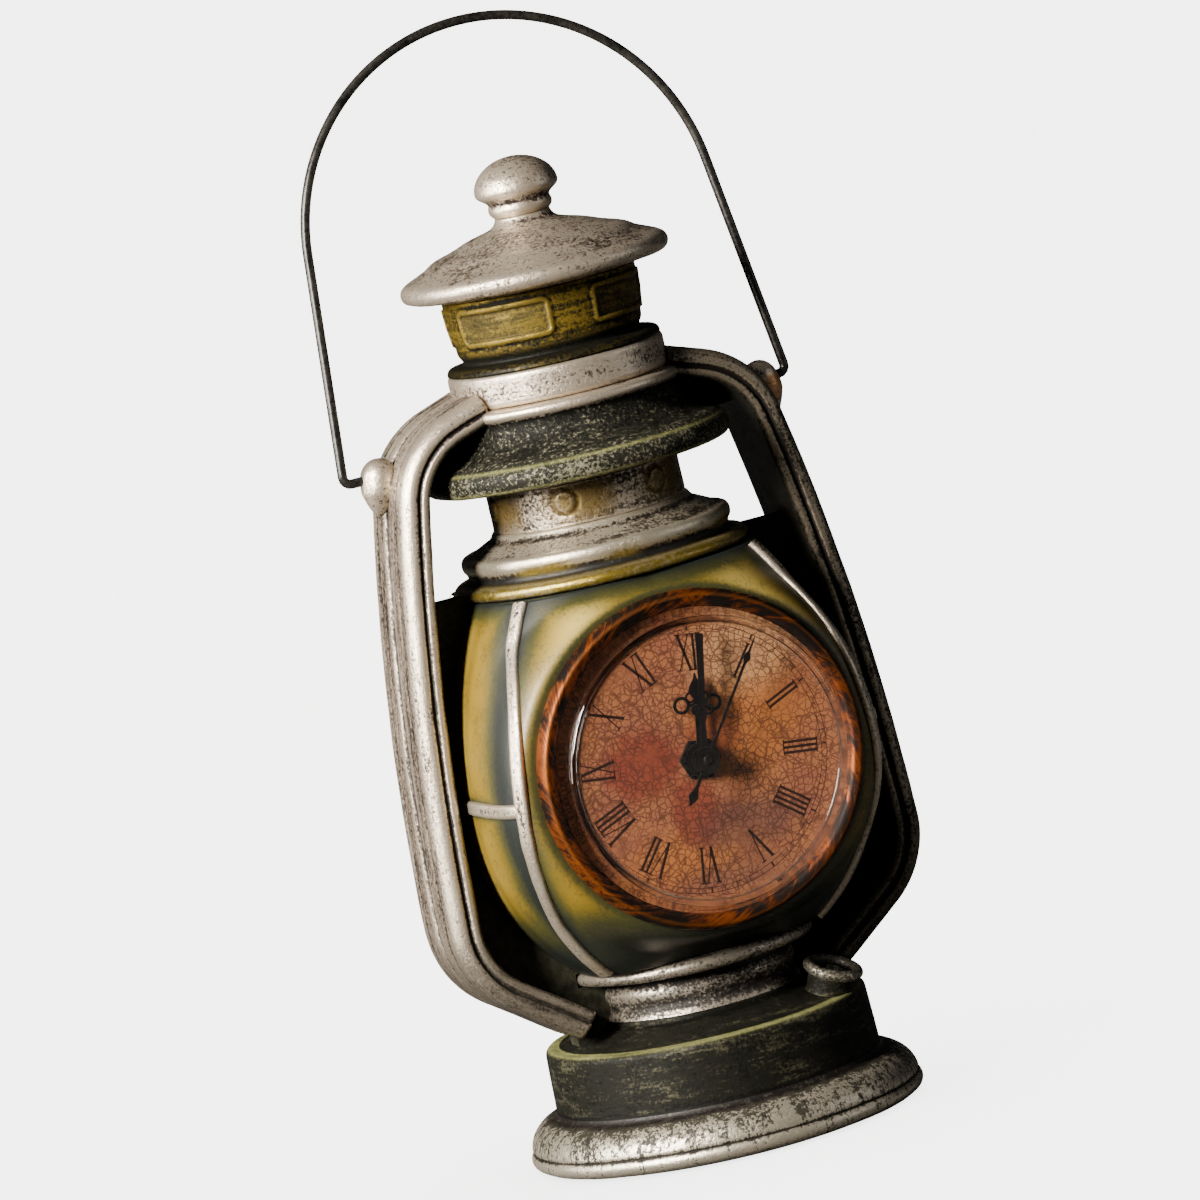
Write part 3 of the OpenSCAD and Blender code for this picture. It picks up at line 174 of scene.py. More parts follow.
def makeRubbed():
    tree, source, result = newGroup(
        "rubbedPaint",
        {"Ground": "Color", "Body": "Color", "Rub": "Color", "Ridge": "Float", "Fine": "Float",
         "Streak": "Float", "Patch": "Float", "Speck": "Float", "RubMore": "Float", "DirtMore": "Float",
         "Contrast": "Float", "Grit": "Float", "Edge": "Float"},
        {"Color": "Color", "Worn": "Float", "Height": "Float"})
    mark = less(tree, source["Streak"], 0.5)
    grit = less(tree, source["Fine"], 0.5)
    patch = less(tree, source["Patch"], 0.5)
    tone = plus(tree, times(tree, mark, source["Contrast"]), times(tree, grit, source["Grit"]))
    tone = plus(tree, tone, times(tree, patch, 0.8))
    raised = times(tree, less(tree, source["Ridge"], 0.5), source["Edge"])
    worn = fade(tree, plus(tree, plus(tree, tone, raised), source["RubMore"]), -0.3, 0.4)
    hollow = times(tree, less(tree, 0.5, source["Ridge"]), 2.1)
    hollow = less(tree, plus(tree, hollow, source["DirtMore"]), times(tree, tone, 1.2))
    hollow = fade(tree, hollow, 0.15, 0.75)
    specks = times(tree, source["Speck"], less(tree, 1.0, times(tree, worn, 0.6)))
    dark = most(tree, hollow, times(tree, specks, 0.8))
    painted = blend(tree, worn, source["Body"], source["Rub"])
    feed(tree, blend(tree, dark, painted, source["Ground"]), result["Color"])
    feed(tree, less(tree, worn, dark, True), result["Worn"])
    height = plus(tree, times(tree, source["Fine"], 0.6), times(tree, source["Streak"], 0.5))
    feed(tree, less(tree, height, times(tree, dark, 0.25)), result["Height"])
    return tree


handGrain = makeGrain()
rubbedPaint = makeRubbed()


def startMaterial(name):
    material = bpy.data.materials.new(name)
    material.use_nodes = True
    tree = material.node_tree
    tree.nodes.clear()
    return material, tree


def finishMaterial(tree, shader):
    add(tree, "ShaderNodeOutputMaterial", {"Surface": shader})


def finishCoat(tree, links):
    finishMaterial(tree, add(tree, "ShaderNodeBsdfPrincipled", links).outputs[0])


def bumpOf(tree, height, strength, distance=0.0002):
    links = {"Height": height, "Strength": strength, "Distance": distance}
    return add(tree, "ShaderNodeBump", links).outputs[0]


# A rubbed paint. "brush" stretches object space, small along the brush marks. With "flow" the marks
# follow the piece's own attribute instead. "areas" are colours laid over by attribute, each with its share.

def paintMaterial(name, s):
    material, tree = startMaterial(name)
    place = objectPlace(tree)
    route = attribute(tree, "flow", "Vector") if s.get("flow") else place
    grain = useGroup(tree, handGrain, {"Vector": place, "Flow": stretched(tree, route, s["brush"])})
    links = {"Ground": s["ground"], "Body": s["body"], "Rub": s["rub"], "Ridge": attribute(tree, "ridge"),
             "Fine": grain["Fine"], "Streak": grain["Streak"], "Patch": grain["Patch"],
             "Speck": grain["Speck"], "RubMore": s["rubMore"], "DirtMore": s["dirtMore"],
             "Contrast": s.get("contrast", 2.6), "Grit": s.get("grit", 3.6), "Edge": s.get("edge", 1.5)}
    paint = useGroup(tree, rubbedPaint, links)
    color = paint["Color"]
    uneven = less(tree, plus(tree, grain["Streak"], grain["Fine"]), 1.0)
    for areaName, areaColor, share in s.get("areas", ()):
        mask = times(tree, attribute(tree, areaName), share)
        mask = plus(tree, mask, times(tree, uneven, times(tree, mask, 2.4)), True)
        color = blend(tree, mask, color, areaColor)
    rough = less(tree, s["rough"], times(tree, paint["Worn"], 0.14))
    metal = times(tree, plus(tree, times(tree, paint["Worn"], 0.6), 0.4), s["metal"])
    finishCoat(tree, {"Base Color": color, "Roughness": rough, "Metallic": metal,
                      "Specular IOR Level": s.get("gloss", 0.35),
                      "Normal": bumpOf(tree, paint["Height"], s["bump"])})
    return material


around = (0.16, 0.16, 1.0)
upright = (1.0, 1.0, 0.12)
along = (1.0, 0.10, 1.0)
silverPaint = {"ground": (0.007, 0.005, 0.004), "body": (0.070, 0.050, 0.037), "rub": (0.64, 0.545, 0.42),
               "brush": around, "rubMore": 0.0, "dirtMore": -0.1, "rough": 0.46, "metal": 0.85, "bump": 1.0}
olivePaint = {**silverPaint, "ground": (0.003, 0.003, 0.002), "body": (0.007, 0.007, 0.005),
              "rub": (0.055, 0.052, 0.032), "rubMore": -0.38, "dirtMore": 0.0, "contrast": 3.2, "grit": 2.0,
              "edge": 0.5, "rough": 0.48, "metal": 0.25, "bump": 1.0, "gloss": 0.08,
              "areas": (("gilt", (0.24, 0.24, 0.09), 0.55),)}
paints = {
    "silver": silverPaint,
    "drumPaint": olivePaint,
    "footPaint": {**silverPaint, "body": (0.030, 0.027, 0.019), "rub": (0.56, 0.50, 0.39), "brush": upright,
                  "rubMore": -0.85, "contrast": 4.4, "edge": 2.6},
    "fillerPaint": {**silverPaint, "body": (0.035, 0.033, 0.024), "rub": (0.42, 0.38, 0.29),
                    "rubMore": -0.75, "edge": 2.0},
    "platePaint": {**silverPaint, "body": (0.028, 0.024, 0.018), "rub": (0.40, 0.35, 0.28),
                   "rubMore": -0.28, "edge": 1.0, "dirtMore": 0.0},
    "hoodPaint": {**olivePaint, "body": (0.012, 0.012, 0.009), "rub": (0.17, 0.162, 0.105),
                  "rubMore": -0.42, "grit": 4.2, "contrast": 1.6},
    "neckPaint": {**silverPaint, "body": (0.045, 0.036, 0.026), "rubMore": -0.12,
                  "areas": (("gilt", (0.12, 0.075, 0.009), 0.8),)},
    "galleryPaint": {**silverPaint, "body": (0.07, 0.057, 0.038), "rub": (0.58, 0.51, 0.38),
                     "rubMore": -0.04, "areas": (("gilt", (0.25, 0.18, 0.022), 0.95),
                                                 # the near-black area is painted shade
                                                 ("dusk", (0.006, 0.006, 0.005), 0.9))},
    "ventPaint": {**olivePaint, "body": (0.022, 0.017, 0.004), "rub": (0.17, 0.115, 0.016),
                  "rubMore": -0.12, "edge": 1.0, "metal": 0.5,
                  # the near-black area is painted shade
                  "areas": (("gilt", (0.13, 0.098, 0.026), 0.34), ("dusk", (0.007, 0.007, 0.005), 0.95))},
    "tubePaint": {**silverPaint, "flow": True, "brush": along, "rubMore": -0.45,
                  "body": (0.115, 0.088, 0.066), "contrast": 4.2, "grit": 4.0, "edge": 2.2,
                  "dirtMore": 0.05, "areas": (("shade", (0.022, 0.021, 0.014), 1.0),)},
    # the right tube's paint is the tube's silver darkened, as painted shade
    "shadedTubePaint": {**silverPaint, "flow": True, "brush": along, "body": (0.012, 0.011, 0.008),
                      "gloss": 0.15, "rub": (0.26, 0.215, 0.155), "rubMore": -0.85, "dirtMore": 0.1,
                      "contrast": 3.0, "edge": 2.2, "areas": (("shade", (0.012, 0.011, 0.008), 1.0),)},
    "earPaint": {**silverPaint, "rubMore": 0.05, "areas": (("chip", (0.60, 0.31, 0.13), 0.9),)},
    "guardPaint": {**silverPaint, "body": (0.13, 0.11, 0.085), "rubMore": 0.16, "dirtMore": 0.1,
                   "edge": 2.0, "brush": upright}}
materials = {name: paintMaterial(name, s) for name, s in paints.items()}


# Airbrushed gold with slate beside the wires and a cream band on the sides; cream is also a painted
# highlight, slate also painted shade

# cream is also a painted highlight, and the slate colour also painted shade
globeCoat = {"gold": (0.165, 0.105, 0.007), "cream": (0.44, 0.325, 0.075), "slateAndShade": (0.008, 0.011, 0.009),
             "olive": (0.042, 0.040, 0.008), "mist": 60, "rough": 0.42}


def globeMaterial(s):
    material, tree = startMaterial("globePaint")
    place = objectPlace(tree)
    grain = useGroup(tree, handGrain, {"Vector": place, "Flow": stretched(tree, place, upright)})
    drift = less(tree, cloud(tree, place, s["mist"], 3, 0.55), 0.5)
    mottle = less(tree, grain["Fine"], 0.5)
    # painted highlight on the front panels, with the airbrushed band on the sides, in cream
    light = plus(tree, attribute(tree, "bright"), times(tree, drift, 0.55), True)
    color = blend(tree, light, s["gold"], s["cream"])
    # painted shade at the globe's ends and round the boss, with the airbrushed slate beside the wires
    dusk = plus(tree, attribute(tree, "slateAndShade"), times(tree, drift, 0.35), True)
    dusk = plus(tree, dusk, times(tree, mottle, times(tree, dusk, 0.9)), True)
    color = blend(tree, fade(tree, dusk, 0.05, 0.5), color, s["olive"])
    color = blend(tree, fade(tree, dusk, 0.3, 0.95), color, s["slateAndShade"])
    color = blend(tree, times(tree, grain["Speck"], 0.35), color, s["slateAndShade"])
    rough = plus(tree, s["rough"], times(tree, mottle, 0.3))
    normal = bumpOf(tree, grain["Fine"], 0.22)
    finishCoat(tree, {"Base Color": color, "Roughness": rough, "Specular IOR Level": 0.5,
                      "Metallic": 0.12, "Normal": normal})
    return material


materials["globePaint"] = globeMaterial(globeCoat)

bezelCoat = {"edge": (0.30, 0.09, 0.012), "orange": (0.16, 0.038, 0.005), "rust": (0.034, 0.008, 0.0025),
             "black": (0.005, 0.003, 0.002), "rough": 0.42}


def bezelMaterial(s):
    material, tree = startMaterial("bezelPaint")
    place = objectPlace(tree)
    flow = attribute(tree, "flow", "Vector")
    grain = useGroup(tree, handGrain, {"Vector": place, "Flow": stretched(tree, flow, (0.8, 0.8, 0.22))})
    ridge = attribute(tree, "ridge")
    streak = plus(tree, grain["Streak"], times(tree, less(tree, grain["Patch"], 0.5), 0.9))
    color = blend(tree, fade(tree, streak, 0.44, 0.66), s["rust"], s["orange"])
    dark = less(tree, 1.0, fade(tree, streak, 0.43, 0.56))
    dark = most(tree, dark, times(tree, grain["Speck"], 0.85))
    color = blend(tree, dark, color, s["black"])
    bare = times(tree, fade(tree, ridge, 0.72, 1.0), times(tree, streak, 0.6))
    color = blend(tree, bare, color, s["edge"])
    rough = plus(tree, s["rough"], times(tree, dark, 0.2))
    height = plus(tree, grain["Streak"], times(tree, grain["Fine"], 0.5))
    finishCoat(tree, {"Base Color": color, "Roughness": rough, "Specular IOR Level": 0.2,
                      "Metallic": 0.6, "Normal": bumpOf(tree, height, 0.6)})
    return material


materials["bezelPaint"] = bezelMaterial(bezelCoat)

# Dial: copper-rose ground under a net of fine cracks, with worn red and violet patches of no shape

dialCoat = {"centre": (0, 0.0944), "copper": (0.29, 0.108, 0.042), "rose": (0.22, 0.075, 0.038),
            "orange": (0.38, 0.125, 0.020), "red": (0.15, 0.022, 0.012), "violet": (0.045, 0.027, 0.030),
            "cream": (0.50, 0.28, 0.13), "crack": (0.035, 0.011, 0.006), "cell": 620, "rough": 0.5,
            "bend": 0.0009}

# Patches: colour, place from the dial's centre, size, softness of the edge, strength

dialPatches = (("orange", (0.014, 0.006), (0.014, 0.012), 0.45, 0.6),
               ("orange", (-0.006, -0.022), (0.016, 0.006), 0.5, 0.5),
               ("cream", (0.016, 0.022), (0.012, 0.009), 0.5, 0.55),
               ("red", (-0.014, 0.002), (0.009, 0.008), 0.3, 0.8),
               ("red", (-0.004, -0.012), (0.006, 0.008), 0.3, 0.75),
               ("red", (0.004, 0.004), (0.007, 0.005), 0.3, 0.55),
               ("violet", (0.008, -0.018), (0.012, 0.006), 0.45, 0.55),
               ("violet", (0.004, -0.028), (0.014, 0.004), 0.5, 0.4))


def smudge(tree, place, at, size, edge):
    away = add(tree, "ShaderNodeVectorMath", {0: place, 1: at}, operation="SUBTRACT").outputs[0]
    away = stretched(tree, away, (1 / size[0], 1, 1 / size[1]))
    flat = stretched(tree, away, (1, 0, 1))
    far = add(tree, "ShaderNodeVectorMath", {0: flat}, operation="LENGTH").outputs["Value"]
    far = plus(tree, far, less(tree, cloud(tree, place, 260, 5, 0.7), 0.5))
    return less(tree, 1.0, fade(tree, far, 1 - edge, 1 + edge))


def cracks(tree, vector, scale, width):
    links = {"Vector": vector, "Scale": scale}
    cells = add(tree, "ShaderNodeTexVoronoi", links, feature="DISTANCE_TO_EDGE").outputs["Distance"]
    return less(tree, 1.0, fade(tree, cells, 0.0, width))


def dialMaterial(s):
    material, tree = startMaterial("dialFace")
    place = objectPlace(tree)
    flat = stretched(tree, place, (1, 0, 1))
    bend = add(tree, "ShaderNodeTexNoise", {"Vector": flat, "Scale": 300, "Detail": 3}).outputs["Color"]
    bent = add(tree, "ShaderNodeVectorMath", {0: bend, 1: (s["bend"],) * 3, 2: flat},
               operation="MULTIPLY_ADD").outputs[0]
    net = most(tree, cracks(tree, bent, s["cell"], 0.13), cracks(tree, bent, s["cell"] * 0.36, 0.055))
    where = cloud(tree, flat, 70, 4, 0.6)
    net = times(tree, net, fade(tree, where, 0.30, 0.52))
    cx, cz = s["centre"]
    mist = cloud(tree, flat, 110, 5, 0.62)
    color = blend(tree, fade(tree, mist, 0.35, 0.65), s["copper"], s["rose"])
    for coat, (dx, dz), size, edge, share in dialPatches:
        mask = smudge(tree, place, (cx + dx, 0, cz + dz), size, edge)
        color = blend(tree, times(tree, mask, share), color, s[coat])
    color = blend(tree, times(tree, net, 0.8), color, s["crack"])
    pepper = fade(tree, cloud(tree, flat, 2000, 3, 0.6), 0.52, 0.64)
    color = blend(tree, times(tree, pepper, 0.5), color, s["crack"])
    rough = plus(tree, s["rough"], times(tree, net, 0.2))
    normal = bumpOf(tree, less(tree, mist, net), 0.25, 0.0001)
    finishCoat(tree, {"Base Color": color, "Roughness": rough, "Specular IOR Level": 0.2,
                      "Metallic": 0.0, "Normal": normal})
    return material


materials["dialFace"] = dialMaterial(dialCoat)


# Clear styrene. Light that would only cast its shadow passes straight through.

def lensMaterial():
    material, tree = startMaterial("lensClear")
    place = objectPlace(tree)
    haze = cloud(tree, place, 260, 4, 0.6)
    scuff = fade(tree, cloud(tree, stretched(tree, place, (1, 1, 0.2)), 900, 4, 0.7), 0.56, 0.75)
    rough = plus(tree, times(tree, haze, 0.004), times(tree, scuff, 0.01))
    glass = add(tree, "ShaderNodeBsdfPrincipled",
                {"Base Color": (0.97, 0.97, 0.97), "Roughness": rough, "IOR": 1.49,
                 "Transmission Weight": 1.0}).outputs[0]
    clear = add(tree, "ShaderNodeBsdfTransparent", {"Color": (0.94, 0.94, 0.94)}).outputs[0]
    path = add(tree, "ShaderNodeLightPath").outputs
    through = most(tree, path["Is Shadow Ray"], path["Is Diffuse Ray"])
    finishMaterial(tree, add(tree, "ShaderNodeMixShader", {0: through, 1: glass, 2: clear}).outputs[0])
    return material


materials["lensClear"] = lensMaterial()


# Plainer stuffs: a colour that drifts a little, with fine grain in its gloss and skin

def stuffMaterial(name, s):
    material, tree = startMaterial(name)
    place = objectPlace(tree)
    route = stretched(tree, place, s.get("brush", (1, 1, 1)))
    fine = cloud(tree, route, s["grain"], 5, 0.65)
    drift = cloud(tree, place, s["grain"] / 9, 3, 0.55)
    both = plus(tree, times(tree, fine, 0.6), times(tree, drift, 0.4))
    color = blend(tree, fade(tree, both, 0.35, 0.65), s["low"], s["high"])
    rough = plus(tree, s["rough"], times(tree, less(tree, both, 0.5), 0.25))
    normal = bumpOf(tree, fine, s.get("bump", 0.15), s.get("depth", 0.0001))
    finishCoat(tree, {"Base Color": color, "Roughness": rough, "Metallic": s.get("metal", 0.0),
                      "Specular IOR Level": s.get("gloss", 0.5), "Normal": normal})
    return material


stuffs = {
    # near-black, as painted shade on the webs
    "shadedWebPaint": {"low": (0.006, 0.006, 0.004), "high": (0.03, 0.029, 0.018), "grain": 420, "rough": 0.65,
                 "gloss": 0.1, "bump": 0.5, "depth": 0.0004},
    "wireBlack": {"low": (0.006, 0.006, 0.006), "high": (0.045, 0.042, 0.036), "grain": 900, "rough": 0.32,
                  "metal": 0.55, "bump": 0.2},
    "printInk": {"low": (0.003, 0.002, 0.002), "high": (0.014, 0.006, 0.004), "grain": 1800, "rough": 0.55,
                 "gloss": 0.1},
    "feltPad": {"low": (0.008, 0.008, 0.008), "high": (0.045, 0.045, 0.042), "grain": 2600, "rough": 0.95,
                "bump": 0.8, "depth": 0.0003},
    "rubberBlack": {"low": (0.012, 0.012, 0.012), "high": (0.035, 0.035, 0.035), "grain": 1300,
                    "rough": 0.62},
    "whitePlastic": {"low": (0.62, 0.62, 0.58), "high": (0.72, 0.72, 0.69), "grain": 900, "rough": 0.38},
    "casePlastic": {"low": (0.020, 0.020, 0.021), "high": (0.038, 0.038, 0.038), "grain": 1600,
                    "rough": 0.5},
    "canTin": {"low": (0.62, 0.62, 0.58), "high": (0.74, 0.74, 0.70), "grain": 700, "rough": 0.35},
    "handBlack": {"low": (0.002, 0.002, 0.002), "high": (0.006, 0.005, 0.005), "grain": 1500, "rough": 0.34,
                  "gloss": 0.12},
    "nutBlack": {"low": (0.002, 0.002, 0.002), "high": (0.008, 0.007, 0.006), "grain": 1200, "rough": 0.28,
                 "gloss": 0.3},
    "brassTurned": {"low": (0.42, 0.27, 0.085), "high": (0.66, 0.47, 0.19), "grain": 1500, "rough": 0.3,
                    "metal": 1.0, "brush": (0.1, 1, 1)},
    "gearWhite": {"low": (0.66, 0.65, 0.60), "high": (0.80, 0.79, 0.74), "grain": 1500, "rough": 0.4},
    "steelBright": {"low": (0.36, 0.36, 0.37), "high": (0.58, 0.58, 0.59), "grain": 1400, "rough": 0.28,
                    "metal": 1.0, "brush": (1, 1, 0.08)},
    "redPlastic": {"low": (0.36, 0.025, 0.02), "high": (0.50, 0.05, 0.035), "grain": 1200, "rough": 0.38},
    "bobbinPlastic": {"low": (0.024, 0.024, 0.025), "high": (0.05, 0.05, 0.05), "grain": 1400,
                      "rough": 0.48},
    "magnetWire": {"low": (0.26, 0.075, 0.02), "high": (0.62, 0.24, 0.09), "grain": 2600, "rough": 0.3,
                   "metal": 0.9, "brush": (0.05, 1, 1), "bump": 0.6},
    "boardGreen": {"low": (0.012, 0.10, 0.035), "high": (0.03, 0.20, 0.08), "grain": 1200, "rough": 0.33}}
materials.update({name: stuffMaterial(name, s) for name, s in stuffs.items()})
print("materials made")


# Lights and floor

lightSet = {
    "key": {"at": (-1.42, -0.78, 0.85), "to": (0, 0, 0.15), "size": (0.34, 0.7), "power": 150,
            "tint": (1.0, 0.94, 0.865)},
    "strip": {"at": (-1.1, 0.1, 0.45), "to": (0, 0, 0.16), "size": (0.25, 0.8), "power": 20,
              "tint": (1.0, 0.97, 0.93)},
    "fill": {"at": (1.5, -0.9, 0.5), "to": (0, 0, 0.12), "size": (0.7, 0.9), "power": 2.4,
             "tint": (0.95, 0.97, 1.0)},
    "world": (0.95, 0.96, 0.97), "worldPower": 0.02}
floorSet = {"half": 15.0, "tint": (0.80, 0.80, 0.79), "seen": 6.4, "bounce": (0.03, 0.03, 0.029),
            "contact": 0.14, "shadow": (0.52, 0.51, 0.50)}


def makeLight(name, s):
    data = bpy.data.lights.new(name, "AREA")
    data.shape, data.size, data.size_y = "RECTANGLE", s["size"][0], s["size"][1]
    data.energy, data.color = s["power"], s["tint"]
    light = bpy.data.objects.new(name, data)
    scene.collection.objects.link(light)
    light.location = s["at"]
    light.rotation_euler = (Vector(s["to"]) - Vector(s["at"])).to_track_quat("-Z", "Y").to_euler()


for lightName in ("key", "strip", "fill"):
    makeLight(lightName, lightSet[lightName])
world = bpy.data.worlds.new("studio")
world.use_nodes = True
world.node_tree.nodes["Background"].inputs["Color"].default_value = (*lightSet["world"], 1)
world.node_tree.nodes["Background"].inputs["Strength"].default_value = lightSet["worldPower"]
scene.world = world


def meshFrom(bm, name):
    mesh = bpy.data.meshes.new(name)
    bm.to_mesh(mesh)
    bm.free()
    return mesh


# The floor lights itself a little towards the camera, so it stays pale far away

def makeFloor(s):
    bm = bmesh.new()
    bmesh.ops.create_grid(bm, x_segments=1, y_segments=1, size=s["half"])
    mesh = meshFrom(bm, "floor")
    floor = bpy.data.objects.new("floor", mesh)
    scene.collection.objects.link(floor)
    material, tree = startMaterial("paleFloor")
    place = objectPlace(tree)
    grain = cloud(tree, place, 40, 4, 0.6)
    tint = blend(tree, times(tree, grain, 0.06), s["bounce"], s["tint"])
    matte = add(tree, "ShaderNodeBsdfDiffuse", {"Color": tint, "Roughness": 0.6}).outputs[0]
    # painted contact shadow: near the object the floor's glow darkens by ambient occlusion
    paintedContactShadow = add(tree, "ShaderNodeAmbientOcclusion", {"Distance": s["contact"]}, samples=8).outputs["AO"]
    shown = blend(tree, paintedContactShadow, s["shadow"], s["tint"])
    glow = add(tree, "ShaderNodeEmission", {"Color": shown, "Strength": s["seen"]}).outputs[0]
    both = add(tree, "ShaderNodeAddShader", {0: matte, 1: glow}).outputs[0]
    seen = add(tree, "ShaderNodeLightPath").outputs["Is Camera Ray"]
    finishMaterial(tree, add(tree, "ShaderNodeMixShader", {0: seen, 1: matte, 2: both}).outputs[0])
    mesh.materials.append(material)


makeFloor(floorSet)
print("lights and floor made")


# Shapes. Profiles are (radius, height) pairs in millimetres.

def arc(cx, cy, rx, ry, a0, a1, n=12):
    turns = [radians(a0 + (a1 - a0) * i / n) for i in range(n + 1)]
    return [(cx + rx * cos(a), cy + ry * sin(a)) for a in turns]


def evenly(points, step, soft=2):
    path = np.array(points, float)
    steps = np.linalg.norm(np.diff(path, axis=0), axis=1)
    lengths = np.concatenate([[0], np.cumsum(np.maximum(steps, 1e-6))])
    at = np.linspace(0, lengths[-1], max(3, int(lengths[-1] / step) + 1))
    path = np.stack([np.interp(at, lengths, path[:, k]) for k in range(path.shape[1])], axis=1)
    for _ in range(soft):
        path[1:-1] = path[1:-1] * 0.5 + (path[:-2] + path[2:]) * 0.25
    return [tuple(p) for p in path]


def lathe(chain, sides, ring=False):
    bm = bmesh.new()
    verts = [bm.verts.new((r * mm, 0, z * mm)) for r, z in chain]
    pairs = zip(verts, verts[1:] + verts[:1] if ring else verts[1:])
    edges = [bm.edges.new(pair) for pair in pairs if pair[0].co.x > 0 or pair[1].co.x > 0]
    bmesh.ops.spin(bm, geom=verts + edges, cent=(0, 0, 0), axis=(0, 0, 1), dvec=(0, 0, 0),
                   angle=2 * pi, steps=sides, use_merge=True, use_duplicate=False)
    bmesh.ops.remove_doubles(bm, verts=bm.verts, dist=2e-6)
    bmesh.ops.recalc_face_normals(bm, faces=bm.faces)
    return bm


# A turned solid: the profile is evened out and closed to the axis at both ends

def spun(profile, sides=180, step=0.45, soft=2, before=None):
    body = evenly(profile, step, soft)
    return lathe((before or [(0, body[0][1])]) + body + [(0, body[-1][1])], sides)


# A closed skin over rings of equal count

def hull(rings):
    bm = bmesh.new()
    made = [[bm.verts.new(p) for p in ring] for ring in rings]
    count = len(rings[0])
    for low, high in zip(made, made[1:]):
        for k in range(count):
            n = (k + 1) % count
            bm.faces.new((low[k], low[n], high[n], high[k]))
    bm.faces.new(made[0])
    bm.faces.new(made[-1])
    bmesh.ops.remove_doubles(bm, verts=bm.verts, dist=1e-6)
    bmesh.ops.recalc_face_normals(bm, faces=bm.faces)
    return bm


# The cast was shaped by hand, so its skin dips a little here and there

def roughen(bm, seed, lump=0.16, lumpSize=9.0, grit=0.05, gritSize=1.7):
    bm.normal_update()
    shift = Vector((seed * 13.7, seed * 5.1, 0))
    moves = []
    for v in bm.verts:
        at = v.co / mm + shift
        wave = noise.noise(at / lumpSize) * 0.5 + 0.5
        fine = noise.noise(at / gritSize) * 0.5 + 0.5
        moves.append(v.normal * (-(wave * lump + fine * grit) * mm))
    for v, move in zip(bm.verts, moves):
        v.co += move
    return bm


def columns(mesh, name, width):
    values = np.empty(len(mesh.vertices) * width)
    mesh.vertices.foreach_get(name, values)
    return values.reshape(-1, width)


# "ridge" is 0.5 on even ground, more on edges and bumps, less in grooves

def markRidge(mesh, rounds=14, full=0.22):
    place, normal = columns(mesh, "co", 3), columns(mesh, "normal", 3)
    ends = np.empty(len(mesh.edges) * 2, int)
    mesh.edges.foreach_get("vertices", ends)
    a, b = ends.reshape(-1, 2).T
    pull = 1 / (np.linalg.norm(place[a] - place[b], axis=1) + 1e-5)
    count = len(place)
    total = np.bincount(a, pull, count) + np.bincount(b, pull, count) + 1e-9
    soft = place.copy()
    for _ in range(rounds):
        sums = [np.bincount(a, pull * soft[b, k], count) + np.bincount(b, pull * soft[a, k], count)
                for k in range(3)]
        soft = soft * 0.4 + np.stack(sums, axis=1) / total[:, None] * 0.6
    rise = np.sum((place - soft) * normal, axis=1) / (full * mm)
    mark(mesh, "ridge", np.clip(rise * 0.5 + 0.5, 0, 1))


def mark(mesh, name, values):
    kind = "FLOAT" if np.ndim(values) == 1 else "FLOAT_VECTOR"
    field = mesh.attributes.new(name, kind, "POINT")
    field.data.foreach_set("value" if kind == "FLOAT" else "vector", np.ravel(values))


def finish(name, bm, coat, body, nodes=(), ridge=True, rounds=14, full=0.22, flat=False):
    mesh = bm if isinstance(bm, bpy.types.Mesh) else meshFrom(bm, name)
    mesh.polygons.foreach_set("use_smooth", [not flat] * len(mesh.polygons))
    if ridge:
        markRidge(mesh, rounds, full)
    piece = bpy.data.objects.new(name, mesh)
    scene.collection.objects.link(piece)
    mesh.materials.append(materials[coat])
    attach(piece, body)
    if nodes:
        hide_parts(*nodes)
    return piece


# Above or below a height the piece takes a second paint

def splitCoat(piece, coat, z, above):
    piece.data.materials.append(materials[coat])
    for face in piece.data.polygons:
        face.material_index = int((face.center.z > z * mm) == above)


def smoothstep(low, high, value):
    t = min(1.0, max(0.0, (value - low) / (high - low)))
    return t * t * (3 - 2 * t)


# "gilt" marks where a lighter colour lies, here as thin rubbed lines at some heights

def lines(bm, heights, inside=0.0, width=0.3):
    gilt = bm.verts.layers.float.new("gilt")
    for v in bm.verts:
        if hypot(v.co.x, v.co.y) > inside * mm:
            v[gilt] = sum(exp(-((v.co.z / mm - z) / width) ** 2) for z in heights)
    return bm


# Base: foot with a rounded lip, drum, sunk shoulder, hollow underside with a felt recess

baseSet = {"underR": 46.3, "underZ": 0.6, "lipR": 48.3, "lipZ": 4.2, "footZ": 12.7, "drumR": 39.9,
           "drumTopR": 39.4, "shoulderZ": 28.6, "neckZ": 33.0, "neckR": 24.4, "hollowR": 35.4,
           "hollowZ": 24.6, "feltR": 43.4, "feltZ": 1.6}


